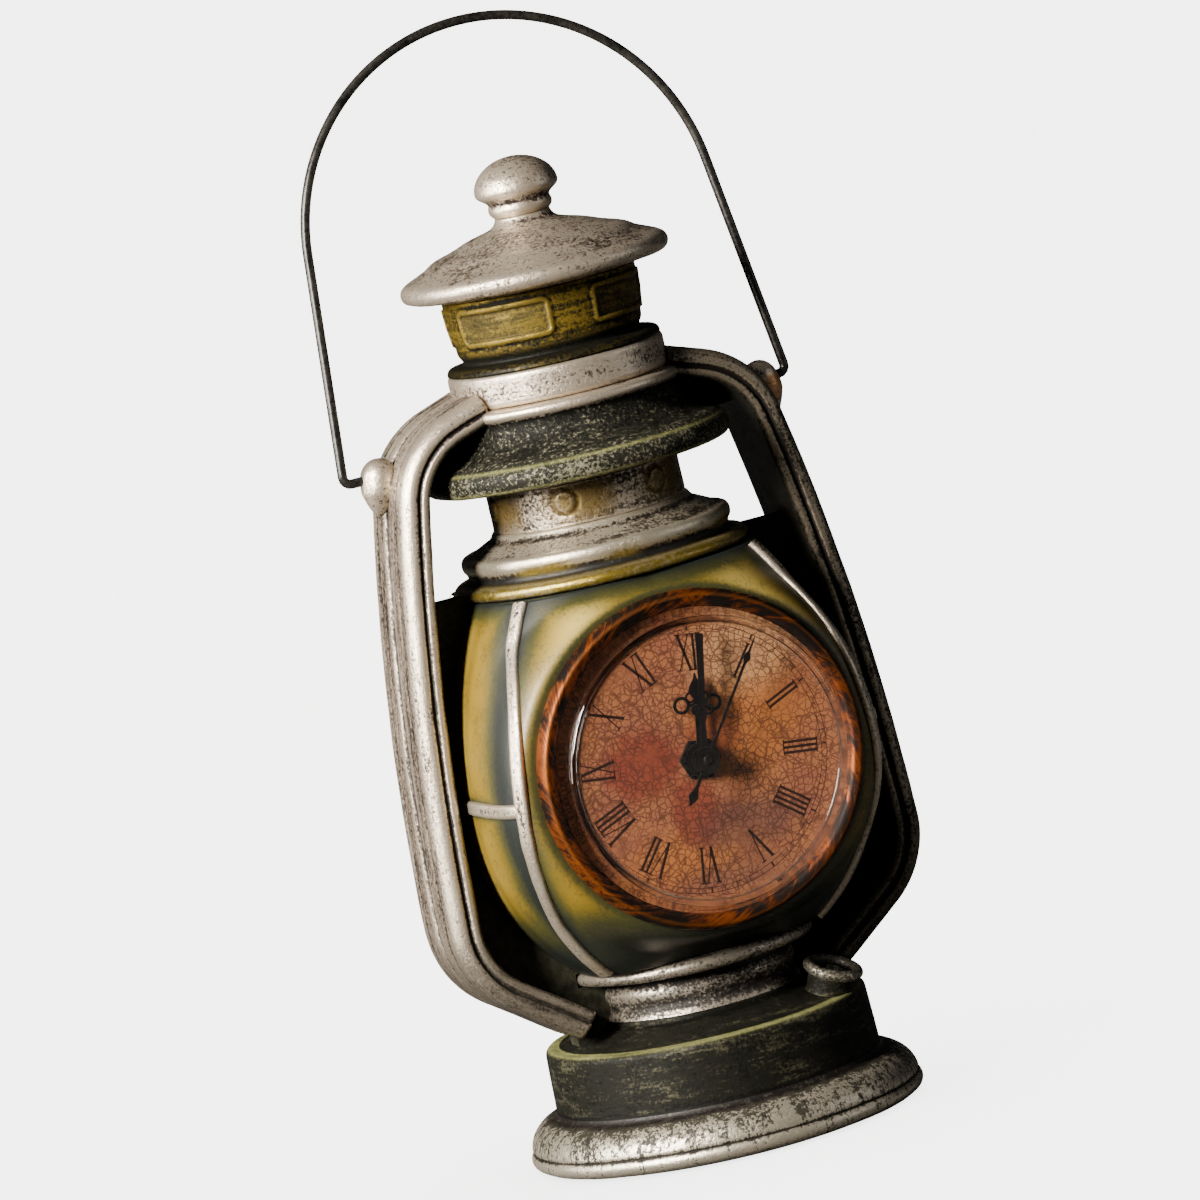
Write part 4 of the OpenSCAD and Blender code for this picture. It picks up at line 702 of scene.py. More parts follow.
def makeBase(s):
    bevel = s["lipR"] - 0.6 - s["drumR"]
    outer = ([(s["underR"], s["underZ"])]
             + arc(s["lipR"] - 2, s["underZ"] + 2.4, 2, 2.2, -50, 60)
             + [(s["lipR"] - 1.1, s["lipZ"] + 0.2)]
             + arc(s["drumR"], s["lipZ"] + 0.5, bevel, s["footZ"] - s["lipZ"] - 1.1, 3, 82)
             + [(s["drumR"] + 0.35, s["footZ"] - 0.1), (s["drumR"], s["footZ"] + 0.8)]
             + arc(s["drumTopR"] - 1.6, s["shoulderZ"] - 1.6, 1.6, 1.6, 0, 72)
             + [(s["drumTopR"] - 3.2, s["shoulderZ"] - 0.1)]
             + arc(s["neckR"] + 3.4, s["neckZ"] + 0.9, 2.6, 2.2, 255, 180)
             + [(s["neckR"] + 0.6, s["neckZ"])])
    inner = [(0, s["hollowZ"]), (s["hollowR"], s["hollowZ"]), (s["hollowR"], s["feltZ"]),
             (s["feltR"], s["feltZ"]), (s["feltR"], s["underZ"])]
    bm = spun(outer, 220, 0.5, 1, before=inner)
    return lines(roughen(bm, 1, 0.2, 11), (s["shoulderZ"] - 0.2,), s["drumR"] - 4)


drum = finish("baseBody", makeBase(baseSet), "drumPaint", "lantern", ["base"])
splitCoat(drum, "footPaint", baseSet["footZ"] + 0.3, False)

fillerSet = {"out": 34.6, "turn": -40, "up": 33.4, "tilt": 24, "r": 7.4, "t": 2.8, "rim": 1.3, "neckR": 5.6,
             "neckH": 5.2}


def fillerPlace(s):
    return (Matrix.Rotation(radians(s["turn"]), 4, "Z")
            @ Matrix.Translation(Vector((s["out"], 0, s["up"])) * mm)
            @ Matrix.Rotation(radians(s["tilt"]), 4, "Y"))


def makeFiller(s):
    dish = (arc(s["r"] - s["rim"], s["t"] / 2, s["rim"], s["t"] / 2, -60, 180, 16)
            + [(s["r"] - 2 * s["rim"] - 0.3, s["t"] * 0.38), (s["r"] * 0.35, s["t"] * 0.38),
               (s["r"] * 0.28, s["t"] * 0.55)])
    bm = spun([(s["r"] - 0.9, 0)] + dish, 96, 0.25, 2)
    bmesh.ops.transform(bm, matrix=fillerPlace(s), verts=bm.verts)
    return roughen(bm, 2, 0.1, 4, 0.04)


finish("fillerLid", makeFiller(fillerSet), "fillerPaint", "lantern", ["filler_cap"])


def makeFillerNeck(s):
    outer = [(s["neckR"] + 0.3, -s["neckH"]), (s["neckR"], -s["neckH"] + 1.5), (s["neckR"], -0.1)]
    bm = spun(outer, 72, 0.5, 1)
    bmesh.ops.transform(bm, matrix=fillerPlace(s), verts=bm.verts)
    return roughen(bm, 3, 0.1, 4)


finish("fillerNeck", makeFillerNeck(fillerSet), "drumPaint", "lantern")

# Burner neck and the plate under the globe

plateSet = {"neckR": 24.4, "neckZ": 33.0, "neckH": 10.0, "plateR": 30.2, "plateZ": 43.0, "plateT": 3.5}


def makePlate(s):
    top = s["plateZ"] + s["plateT"]
    outer = ([(s["neckR"] + 0.6, s["neckZ"]), (s["neckR"] + 0.1, s["neckZ"] + 1.4),
              (s["neckR"] - 0.6, s["neckZ"] + 2.6)]
             + arc(s["neckR"] - 1.2, s["neckZ"] + s["neckH"] * 0.6, 1.2, s["neckH"] * 0.22, -60, 60)
             + [(s["neckR"] - 1.2, s["plateZ"] - 0.9), (s["plateR"] - 1.9, s["plateZ"])]
             + arc(s["plateR"] - 1.7, s["plateZ"] + s["plateT"] / 2, 1.7, s["plateT"] / 2, -80, 80)
             + [(s["plateR"] - 2.8, top)])
    return roughen(spun(outer, 180, 0.4, 2), 4)


finish("burnerPlate", makePlate(plateSet), "platePaint", "lantern", ["burner_neck"])


# Chimney stack

gallerySet = {"z": 139.0, "h": 14.0, "lipR": 36.0, "lipH": 3.2, "ringR": 33.0, "ringZ": 144.5, "ringH": 4.0,
              "neckR": 23.5}


def makeGallery(s):
    top = s["z"] + s["h"]
    outer = ([(s["lipR"] - 1.8, s["z"])]
             + arc(s["lipR"] - 1.5, s["z"] + s["lipH"] / 2, 1.5, s["lipH"] / 2, -75, 80)
             + [(s["ringR"] - 0.9, s["z"] + s["lipH"] + 0.6), (s["ringR"] - 1.1, s["ringZ"] - 0.5)]
             + arc(s["ringR"] - 1.2, s["ringZ"] + s["ringH"] / 2, 1.2, s["ringH"] / 2, -75, 75)
             + [(s["ringR"] - 2.8, s["ringZ"] + s["ringH"] + 0.3)]
             + arc(s["neckR"] + 3.2, top + 0.4, 2.6, 2.6, 262, 195)
             + [(s["neckR"] + 0.4, top)])
    bm = roughen(spun(outer, 200, 0.4, 2), 5, 0.2, 8)
    gilt, dusk = (bm.verts.layers.float.new(name) for name in ("gilt", "dusk"))
    for v in bm.verts:
        z = v.co.z / mm
        turn = noise.noise(v.co / (16 * mm)) * 0.5 + 0.5
        lip = smoothstep(s["z"] + s["lipH"] + 0.8, s["z"] + s["lipH"] - 0.6, z)
        waist = exp(-((z - s["z"] - s["lipH"] - 1.1) / 0.9) ** 2)
        ring = exp(-((z - s["ringZ"] - 0.6) / 1.3) ** 2)
        v[gilt] = max(lip, ring * smoothstep(0.4, 0.65, turn))
        # painted shade in the crease above the lip and along the foot, where the gallery meets the globe
        v[dusk] = max(waist, smoothstep(s["z"] + 0.9, s["z"] + 0.2, z))
    return bm


finish("galleryRing", makeGallery(gallerySet), "galleryPaint", "lantern", ["gallery"])

neckSet = {"r": 23.5, "z": 153.0, "h": 9.9, "studZ": 158.8, "studR": 2.8, "studs": 6, "rise": 0.5}


def makeChimneyNeck(s):
    outer = [(s["r"], s["z"]), (s["r"], s["z"] + s["h"])]
    bm = roughen(spun(outer, 360, 0.3, 0), 6, 0.14, 6)
    gilt = bm.verts.layers.float.new("gilt")
    for v in bm.verts:
        out = hypot(v.co.x, v.co.y)
        if out > (s["r"] - 1) * mm:
            turn = degrees(atan2(v.co.y, v.co.x)) % (360 / s["studs"])
            side = (turn if turn < 180 / s["studs"] else turn - 360 / s["studs"]) / 57.3 * s["r"]
            away = hypot(side, v.co.z / mm - s["studZ"])
            rise = s["rise"] * (1 - smoothstep(s["studR"] - 0.7, s["studR"] + 0.1, away))
            dip = -0.22 * exp(-((away - s["studR"] - 0.5) / 0.4) ** 2)
            v[gilt] = smoothstep(9, 1.5, hypot(side * 0.6 - 2.2, v.co.z / mm - s["studZ"]))
            v.co.x, v.co.y = (c * (1 + (rise + dip) * mm / out) for c in (v.co.x, v.co.y))
    return bm


finish("chimneyNeck", makeChimneyNeck(neckSet), "neckPaint", "lantern", ["chimney_neck"],
       full=0.45)

hoodSet = {"silverZ": 179.9, "neckR": 23.5, "z": 162.9, "lipR": 37.3, "flangeR": 28.5, "h": 20.6,
           "collarR": 26.3}


def makeHood(s):
    top = s["z"] + s["h"]
    outer = ([(s["neckR"] + 0.9, s["z"] + 0.1), (s["lipR"] - 2.4, s["z"] + 1.2)]
             + arc(s["lipR"] - 1.7, s["z"] + 4.3, 1.7, 2.9, -70, 65)
             + [(s["lipR"] - 1.4, s["z"] + 7.3)]
             + arc(s["lipR"] - 0.8, top - 4.2, s["lipR"] - s["flangeR"] + 0.8, s["h"] - 12.6, 258, 184)
             + [(s["flangeR"] - 1.5, top - 3.4)]
             + arc(s["flangeR"] - 1.3, top - 1.75, 1.3, 1.45, -60, 80)
             + [(s["collarR"] - 0.8, top)])
    bm = roughen(spun(outer, 200, 0.42, 2), 7, 0.22, 8, 0.07)
    return lines(bm, (s["z"] + 2.0, s["z"] + 7.0), s["flangeR"])


hood = finish("hoodBody", makeHood(hoodSet), "hoodPaint", "lantern", ["hood"])
splitCoat(hood, "silver", hoodSet["silverZ"], True)

collarSet = {"r": 26.3, "z": 183.5, "h": 8.1}


def makeCollar(s):
    top = s["z"] + s["h"]
    outer = ([(s["r"] - 0.7, s["z"]), (s["r"], s["z"] + 0.8)]
             + arc(s["r"] - 1.1, top - 1.1, 1.1, 1.1, 0, 80)
             + [(s["r"] - 1.8, top)])
    return roughen(spun(outer, 160, 0.4, 1), 8, 0.16, 7, 0.06)


finish("collarBand", makeCollar(collarSet), "silver", "lantern", ["collar"])

ventSet = {"collarR": 26.3, "r": 23.6, "z": 191.6, "capZ": 209.2, "paneH": 9.5, "paneTurn": 65,
           "frame": 1.3, "rise": 0.5, "sink": 0.35, "corner": 2.2, "underCap": 1.6, "duskZ": 195.0}


def makeVent(s):
    outer = ([(s["collarR"] - 0.3, s["z"])]
             + arc(s["collarR"] - 1.9, s["z"] + 0.3, 1.6, 1.6, -5, 70)
             + [(s["r"] - 2.1, s["z"] + 2.2)]
             + arc(s["r"] - 3.6, s["z"] + 5.4, 2.6, 3, -50, 5)
             + [(s["r"] - 0.6, s["z"] + 8.6), (s["r"] - 0.2, s["z"] + 11.6), (s["r"], s["capZ"] - 1.2),
                (s["r"], s["capZ"])])
    bm = roughen(spun(outer, 400, 0.3, 2), 9, 0.14, 6)
    gilt, dusk = (bm.verts.layers.float.new(name) for name in ("gilt", "dusk"))
    middle = s["capZ"] - s["underCap"] - s["paneH"] / 2
    halfW, halfH = radians(s["paneTurn"]) * s["r"] / 2 - s["corner"], s["paneH"] / 2 - s["corner"]
    for v in bm.verts:
        out = hypot(v.co.x, v.co.y)
        height = v.co.z / mm - middle
        # painted shade low on the band, in the hollow above the collar
        v[dusk] = smoothstep(s["duskZ"] + 2.5, s["duskZ"], v.co.z / mm)
        if out > 18 * mm and abs(height) < s["paneH"]:
            turn = degrees(atan2(v.co.y, v.co.x)) % 90 - 45
            x, z = abs(turn) / 57.3 * s["r"] - halfW, abs(height) - halfH
            gap = hypot(max(x, 0), max(z, 0)) + min(max(x, z), 0) - s["corner"]
            bar = smoothstep(0.15, -0.25, gap) if gap > -0.4 else 1.0
            pane = smoothstep(-s["frame"] + 0.2, -s["frame"] - 0.25, gap)
            v[gilt] = max(bar * (1 - pane) * 0.8, pane)
            lift = (s["rise"] * bar - (s["rise"] + s["sink"]) * pane) * mm
            v.co.x, v.co.y = (c * (1 + lift / out) for c in (v.co.x, v.co.y))
    return bm


finish("ventBand", makeVent(ventSet), "ventPaint", "lantern", ["vent_band"])

capSet = {"ventR": 23.6, "r": 32.9, "z": 209.2, "h": 16.8, "rimH": 5.0, "step": 0.73, "knobR": 10.3}


def makeCap(s):
    top, step = s["z"] + s["h"], s["r"] * s["step"]
    outer = ([(s["ventR"] - 0.3, s["z"]), (s["r"] - 2.6, s["z"] + 1.1)]
             + arc(s["r"] - 2.2, s["z"] + 1.1 + s["rimH"] / 2, 2.2, s["rimH"] / 2, -80, 62)
             + [(step + 1.8, s["z"] + 8.3), (step + 0.7, s["z"] + 9.3), (step - 1.2, s["z"] + 10.1),
                (step - 4, s["z"] + 10.9)]
             + arc(step * 0.12, s["z"] + 5.4, step * 0.84, 9.2, 44, 62)
             + arc(s["knobR"] * 0.66 + 3.4, top, 3.4, 2.6, 250, 190)
             + [(s["knobR"] * 0.66, top)])
    return roughen(spun(outer, 200, 0.42, 7), 10, 0.24, 8, 0.07)


finish("capBody", makeCap(capSet), "silver", "lantern", ["cap"], full=0.4)

knobSet = {"r": 10.3, "z": 226.0, "h": 14.0}


def makeKnob(s):
    ball = s["z"] + 6.2
    outer = ([(s["r"] * 0.66, s["z"])] + arc(s["r"] * 0.68, s["z"] + 1.9, 0.9, 1.5, -80, 70)
             + arc(0, ball, s["r"], 3.4, -32, 0)
             + arc(0, ball, s["r"], s["z"] + s["h"] - ball, 6, 89.5, 18))
    return roughen(spun(outer, 120, 0.4, 2), 11, 0.2, 6, 0.06)


finish("capKnob", makeKnob(knobSet), "silver", "lantern", ["cap_knob"])
print("base and chimney stack made")


# Globe: a rounded square that grows and shrinks along a half ellipse. In front it swells
# into a round boss that carries the clock.

globeSet = {"z": 46.5, "h": 92.5, "halfW": 48.5, "halfD": 42.0, "waist": 41.5, "square": 4.5, "topW": 73.0,
            "topD": 85.0, "low": 52.0, "levels": 150, "sides": 256, "frontY": -39.0, "lump": 0.2,
            "lumpSize": 14}
seatSet = {"y": 41.0, "z": 94.4, "r": 41.0, "boreR": 38.6, "boreDepth": 17.5, "boreAhead": 5, "spread": 3.5,
           "spreadSide": 7.5}
toFront = Matrix.Rotation(radians(90), 4, "X")


def reach(z, a):
    s = globeSet
    over = z > s["waist"]
    lift = z - s["waist"]
    w = s["halfW"] * sqrt(1 - (lift / (s["topW"] if over else s["low"])) ** 2)
    d = s["halfD"] * sqrt(1 - (lift / (s["topD"] if over else s["low"])) ** 2)
    n = s["square"] - (0.9 if over else 0.5) * (lift / s["waist"]) ** 2
    return ((abs(cos(a)) / w) ** n + (abs(sin(a)) / d) ** n) ** (-1 / n)


def globePoint(z, a, rise=0.0):
    r = reach(z, a) + rise
    x, y, height = r * cos(a), r * sin(a), z + globeSet["z"]
    if y < 0:
        s = seatSet
        away = hypot(x, height - s["z"])
        side = abs(x) / max(away, 0.01)
        pull = 1 - smoothstep(s["r"], s["r"] + s["spread"] + s["spreadSide"] * side, away)
        y = y * (1 - pull) - (s["y"] + rise) * pull
    return Vector((x, y, height)) * mm


# The skin dips unevenly, but not on the boss, where the bezel sits

def makeGlobe(s):
    high, count = s["h"], s["levels"]
    levels = [0.5 * (high * (1 - cos(pi * i / count)) / 2 + high * i / count) for i in range(count + 1)]
    turns = [2 * pi * k / s["sides"] for k in range(s["sides"])]
    bm = hull([[globePoint(z, a) for a in turns] for z in levels])
    bm.normal_update()
    for v in bm.verts:
        if v.co.y > s["frontY"] * mm or hypot(v.co.x / mm, v.co.z / mm - seatSet["z"]) > seatSet["r"]:
            v.co -= v.normal * (noise.noise(v.co / (s["lumpSize"] * mm)) * 0.5 + 0.5) * s["lump"] * mm
    shell = bpy.data.objects.new("globeShell", meshFrom(bm, "globeShell"))
    depth, radius, ahead = seatSet["boreDepth"], seatSet["boreR"] * mm, seatSet["boreAhead"]
    cutter = bmesh.new()
    bmesh.ops.create_cone(cutter, cap_ends=True, segments=160, radius1=radius, radius2=radius,
                          depth=(depth + ahead) * mm)
    place = Matrix.Translation(Vector((0, -seatSet["y"] + (depth - ahead) / 2, seatSet["z"])) * mm)
    bmesh.ops.transform(cutter, matrix=place @ toFront, verts=cutter.verts)
    bore = bpy.data.objects.new("boreCutter", meshFrom(cutter, "boreCutter"))
    for made in (shell, bore):
        scene.collection.objects.link(made)
    cut = shell.modifiers.new("bore", "BOOLEAN")
    cut.operation, cut.solver, cut.object = "DIFFERENCE", "EXACT", bore
    graph = bpy.context.evaluated_depsgraph_get()
    result = bpy.data.meshes.new_from_object(shell.evaluated_get(graph))
    result.name = "globeShell"
    for made in (shell, bore):
        bpy.data.objects.remove(made)
    return result


# Wires of the guard, in degrees from the side of the globe

guardSet = {"w": 3.8, "t": 1.2, "flat": 0.27, "shoulder": 0.62, "sunk": -0.3, "crossZ": 46.5,
            "crossW": 0.92, "crossDown": 0.1, "low": 36.5, "top": 41.0, "gap": 0.05, "ends": (1.0, 92.2),
            "steps": 120, "crossSteps": 60}


def guardTurn(z):
    s = guardSet
    share = max(0.0, z - globeSet["waist"]) / (globeSet["h"] - globeSet["waist"])
    return radians(s["low"] + (s["top"] - s["low"]) * share ** 2)


# Airbrushed slate beside the wires, painted shade under the gallery lip, a painted shadow round the boss,
# darker towards the bottom, and between the wires an airbrushed band on the sides and a painted highlight
# on the front panels, kept as attributes. "half" is where a mark starts to fade, "fade" how slowly.

slateAndShadeSet = {"wireHalf": 2.0, "wireFade": 4.6, "crossHalf": 1.2, "crossFade": 1.5, "crossShare": 0.8,
            "footFade": 18, "topFade": 3.2, "rimFade": 1.6, "rimShare": 0.55}
bandAndHighlightSet = {"sideTurn": 0.12, "sideR": 48, "sideW": 6, "sideShare": 0.45, "upperZ": 45, "upperH": 45,
             "panelTurn": 0.38, "panelR": 50, "panelW": 8, "panelShare": 1.1}


def fading(away, half, fade):
    return np.exp(-np.maximum(away - half, 0) / fade)


def markSlateShadeHighlight(mesh, s, b):
    place = columns(mesh, "co", 3) / mm
    turn = np.arctan2(np.abs(place[:, 1]), np.abs(place[:, 0]))
    z = place[:, 2] - globeSet["z"]
    wire = np.array([guardTurn(h) for h in z])
    across = np.abs(turn - wire) * np.hypot(place[:, 0], place[:, 1])
    beside = fading(across, s["wireHalf"], s["wireFade"])
    cross = fading(np.abs(z - guardSet["crossZ"]), s["crossHalf"], s["crossFade"])
    cross = cross * (turn < wire) * s["crossShare"]
    # painted shade under the gallery lip, and darker towards the bottom
    ends = np.exp(-(z / s["footFade"]) ** 2) + np.exp(-(globeSet["h"] - z) / s["topFade"])
    # painted shadow round the boss
    around = np.hypot(place[:, 0], place[:, 2] - seatSet["z"])
    rim = fading(around, seatSet["r"], s["rimFade"]) * (place[:, 1] < 0) * s["rimShare"]
    mark(mesh, "slateAndShade", np.clip(np.maximum.reduce([beside, cross, ends, rim]), 0, 1))
    # airbrushed band on the sides, and a painted highlight on the front panels that grows towards the top
    bright = np.exp(-((turn - b["sideTurn"]) * b["sideR"] / b["sideW"]) ** 2) * b["sideShare"]
    upper = np.clip((z - b["upperZ"]) / b["upperH"], 0, 1)
    panel = np.exp(-((turn - wire - b["panelTurn"]) * b["panelR"] / b["panelW"]) ** 2)
    bright = bright + panel * upper * b["panelShare"]
    mark(mesh, "bright", np.clip(bright * (1 - beside), 0, 1))


globeMesh = makeGlobe(globeSet)
markSlateShadeHighlight(globeMesh, slateAndShadeSet, bandAndHighlightSet)
finish("globeShell", globeMesh, "globePaint", "lantern", ["globe"])


def guardRing(z, a):
    side = (globePoint(z, a + 0.01) - globePoint(z, a - 0.01)).normalized()
    rise = (globePoint(z + 0.4, a) - globePoint(z - 0.4, a)).normalized()
    out = side.cross(rise)
    base = globePoint(z, a, guardSet["gap"])
    return base, side, out if out.dot(Vector((cos(a), sin(a), 0))) > 0 else -out


# Half of the guard: a wire up each corner of one side, and the cross wire between them

def makeGuard(s, mirrorX):
    wide, flat, shoulder = s["w"] / 2, s["w"] * s["flat"], s["t"] * s["shoulder"]
    section = evenly([(-wide, s["sunk"]), (-wide, shoulder), (-flat, s["t"]),
                      (flat, s["t"]), (wide, shoulder), (wide, s["sunk"])], 0.28, 2)
    made = bmesh.new()
    for front in (-1, 1):
        rings = []
        for i in range(s["steps"] + 1):
            z = s["ends"][0] + (s["ends"][1] - s["ends"][0]) * (1 - cos(pi * i / s["steps"])) / 2
            base, side, out = guardRing(z, front * guardTurn(z))
            wobble = 1 + 0.07 * noise.noise(Vector((z * 0.22, front * 3, 1)))
            rings.append([base + side * (u * wobble * mm) + out * (h * mm) for u, h in section])
        merge(made, hull(rings))
    limit = guardTurn(s["crossZ"]) - 0.01
    rings = []
    for i in range(s["crossSteps"] + 1):
        base, side, out = guardRing(s["crossZ"], limit * (i / (s["crossSteps"] / 2) - 1))
        rise = out.cross(side).normalized()
        rings.append([base + rise * (u * s["crossW"] * mm) + out * ((h - s["crossDown"]) * mm)
                      for u, h in section])
    merge(made, hull(rings))
    if mirrorX:
        bmesh.ops.transform(made, matrix=Matrix.Scale(-1, 4, (1, 0, 0)), verts=made.verts)
        bmesh.ops.reverse_faces(made, faces=made.faces)
    return roughen(made, 12 + mirrorX, 0.1, 4, 0.05, 1.2)


def merge(target, source):
    mesh = meshFrom(source, "part")
    target.from_mesh(mesh)
    bpy.data.meshes.remove(mesh)


for sideName, mirrorX in (("left", 1), ("right", 0)):
    finish(sideName + "Guard", makeGuard(guardSet, mirrorX), "guardPaint", "lantern",
           [sideName + "_guard"], rounds=8)
print("globe and guards made")


# Side tubes: a grooved bar swept along straight lengths and bends in the XZ plane.
# A link is a length, or a radius and an angle, and bends turn to the right.

tubeSet = {"t": 7.6, "d": 28.0, "bead": 1.7, "topZ": 187.4, "slope": 18.0, "x": 56.6, "bendR": 24.0,
           "bendA": 60.5, "sideR": 571.0, "sideA": 10.4, "footR": 25.0, "footA": 55.0, "collarR": 26.3,
           "inside": 2.0, "foot": 19.5, "step": 1.0, "around": 0.42, "duskZ": 78, "duskH": 32,
           "duskShare": 0.6}


def walk(at, links, step):
    made = [at]
    for link in links:
        x, z, h = made[-1]
        if len(link) == 1:
            count = max(1, int(link[0] / step))
            made += [(x + link[0] * i / count * cos(h), z + link[0] * i / count * sin(h), h)
                     for i in range(1, count + 1)]
        else:
            r, a = link[0], radians(link[1])
            count = max(2, int(r * a / step))
            for i in range(1, count + 1):
                g = h - a * i / count
                made.append((x + r * (sin(h) - sin(g)), z + r * (cos(g) - cos(h)), g))
    return made


def tubePath(s):
    half, slope = s["t"] / 2, radians(s["slope"])
    upper = -slope - radians(s["bendA"])
    lower = upper - radians(s["sideA"])
    top = (s["x"] - s["collarR"] + half * sin(slope) + (s["bendR"] - half) * (sin(slope) + sin(upper))
           + (s["sideR"] - half) * (sin(lower) - sin(upper))) / cos(slope)
    start = (s["collarR"] - s["inside"] * cos(slope) - half * sin(slope),
             s["topZ"] + s["inside"] * sin(slope) - half * cos(slope), -slope)
    links = [(top + s["inside"],), (s["bendR"] - half, s["bendA"]), (s["sideR"] - half, s["sideA"]),
             (s["footR"] - half, s["footA"]), (s["foot"],)]
    return walk(start, links, s["step"])


def tubeSection(s):
    t, d, r = s["t"] / 2, s["d"] / 2, s["bead"]
    half = ([(t - 1.1, 0), (t - 0.95, 0.55), (t - 0.25, 1.35), (t, 2.1), (t, 7.0), (t - 0.35, 7.7)]
            + [(t - 0.02, 8.5)]
            + arc(t - 3.6, d - 3.8, 3.6, 3.8, 2, 88, 10)
            + [(-0.25, d - 0.15), (-0.65, d - 1.0), (-1.1, d - 0.6)]
            + arc(r - t, d - r, r, r, 62, 178, 8) + [(-t, d - 2 * r)])
    front = half + [(-t, 4), (-t, 0)]
    full = front + [(x, -y) for x, y in reversed(front[1:-1])] + [half[0]]
    return evenly(full, s["around"], 1)[:-1]


# "flow" is the place around and along the tube, "shade" is painted shade on its inner face and a darker
# foot

def makeTube(s, right):
    path, section = tubePath(s), tubeSection(s)
    sign = 1 if right else -1
    rings = [[Vector((sign * (x - p * sin(h)), -q, z + p * cos(h))) * mm for p, q in section]
             for x, z, h in path]
    mesh = meshFrom(roughen(hull(rings), 20 + right, 0.24, 10, 0.07), "tube")
    count = len(section)
    along = np.repeat(np.arange(len(path)) * s["step"], count)
    across = np.tile(np.arange(count) * s["around"], len(path))
    mark(mesh, "flow", np.stack([across, along, np.zeros(len(along))], axis=1) * mm)
    face = np.array([smoothstep(-1.9, -s["t"] / 2 + 0.3, p) * (1 - 0.6 * smoothstep(-3.2, -2.2, p))
                     for p, q in section])
    low = np.array([smoothstep(s["duskZ"], s["duskZ"] - s["duskH"], z) for x, z, h in path])
    face = np.tile(face, len(path)) * (0.88 if right else 0.8)
    mark(mesh, "shade", np.maximum(face, np.repeat(low, count) * s["duskShare"]))
    return mesh


# Thin webs close the corners between tube and globe, and between tube and hood, near-black as painted shade

webSet = {"thick": 6.0, "gap": -0.1, "topZ": 141.0, "ringR": 36.0, "plateR": 30.2, "neckR": 22.8,
          "inset": 4.5, "plateZ": 43.0, "neckZ": 29.2, "footX": 33.0, "hoodX": 25.0,
          "hoodZ": (169.5, 182.5), "upperThick": 3.0, "heading": -1.35, "steps": 60}


def plate(outline, thick, right):
    sign = 1 if right else -1
    bm = bmesh.new()
    half = thick / 2 * mm
    face = bm.faces.new([bm.verts.new((sign * x * mm, -half, z * mm)) for x, z in outline])
    pushed = bmesh.ops.extrude_face_region(bm, geom=[face])["geom"]
    for v in pushed:
        if isinstance(v, bmesh.types.BMVert):
            v.co.y = half
    bmesh.ops.triangulate(bm, faces=bm.faces)
    bmesh.ops.recalc_face_normals(bm, faces=bm.faces)
    return bm


def makeUpperWeb(s, right):
    low, high = s["hoodZ"]
    path = [(x, z) for x, z, h in tubePath(tubeSet) if x > s["hoodX"] + 2 and z > low]
    return plate([(s["hoodX"], low), (s["hoodX"], high)] + path, s["upperThick"], right)


def makeWeb(s, right):
    globe, gap = globeSet, s["gap"]
    path = [(x, z) for x, z, h in tubePath(tubeSet)
            if h < s["heading"] and x > s["footX"] and z < s["topZ"]]
    inner = []
    for i in range(s["steps"]):
        z = globe["h"] * (1 - i / (s["steps"] - 1))
        inner.append((reach(max(z, 0.01), 0) + gap, z + globe["z"]))
    above = [(tubeSet["x"] - s["inset"], s["topZ"]), (s["ringR"] + gap, s["topZ"]),
             (s["ringR"] + gap, globe["z"] + globe["h"] + 0.2)]
    below = [(s["plateR"] + gap, globe["z"]), (s["plateR"] + gap, s["plateZ"]),
             (s["neckR"], s["plateZ"]), (s["neckR"], s["neckZ"]), (s["footX"], s["neckZ"])]
    return plate(above + inner + below + path[::-1], s["thick"], right)


# Lug at the tube's shoulder that holds the bail: a ball whose skirt runs down the tube

earSet = {"x": 48.9, "z": 173.5, "r": 4.7, "reach": 9.5, "lean": -38.0, "chipAt": (51.0, -3.4, 171.2)}


def makeEar(s, right):
    ball = arc(0, 0, s["r"], s["r"], 89, -12, 14)
    skirt = [(s["r"] * share, -z) for share, z in ((1.0, 2.2), (0.93, 4.2), (0.66, 6.6), (0.36, 8.6))]
    skirt.append((0.2, -s["reach"] - 0.6))
    bm = spun(ball + skirt, 72, 0.4, 2)
    sign = 1 if right else -1
    place = (Matrix.Translation(Vector((sign * s["x"], 0, s["z"])) * mm)
             @ Matrix.Rotation(radians(s["lean"] * 0.35 * sign), 4, "Y"))
    bmesh.ops.transform(bm, matrix=place, verts=bm.verts)
    chip = bm.verts.layers.float.new("chip")
    for v in bm.verts:
        v[chip] = right * smoothstep(4.2, 2.4, (v.co / mm - Vector(s["chipAt"])).length)
    return roughen(bm, 30 + right, 0.3, 4, 0.08)


for right, sideName in enumerate(("left", "right")):
    # the right tube takes the darkened copy of the tube paint, as painted shade
    coat = "shadedTubePaint" if right else "tubePaint"
    finish(sideName + "Tube", makeTube(tubeSet, right), coat, "lantern",
           [sideName + "_side_tube"], rounds=18, full=0.24)
    finish(sideName + "UpperWeb", makeUpperWeb(webSet, right), "shadedWebPaint", "lantern",
           flat=True, ridge=False)
    finish(sideName + "Web", makeWeb(webSet, right), "shadedWebPaint", "lantern", flat=True,
           ridge=False)
    finish(sideName + "Ear", makeEar(earSet, right), "earPaint", "lantern", full=0.3)
print("side tubes made")


# Bail: one wire, bent at each foot into a pin in its ear

bailSet = {"wire": 2.35, "footX": 54.9, "rise": 49.3, "splay": 6.2, "bend": 1.8, "lean": 7.0, "shift": 1.0,
           "z": 173.5, "pin": 7.0, "sides": 18}


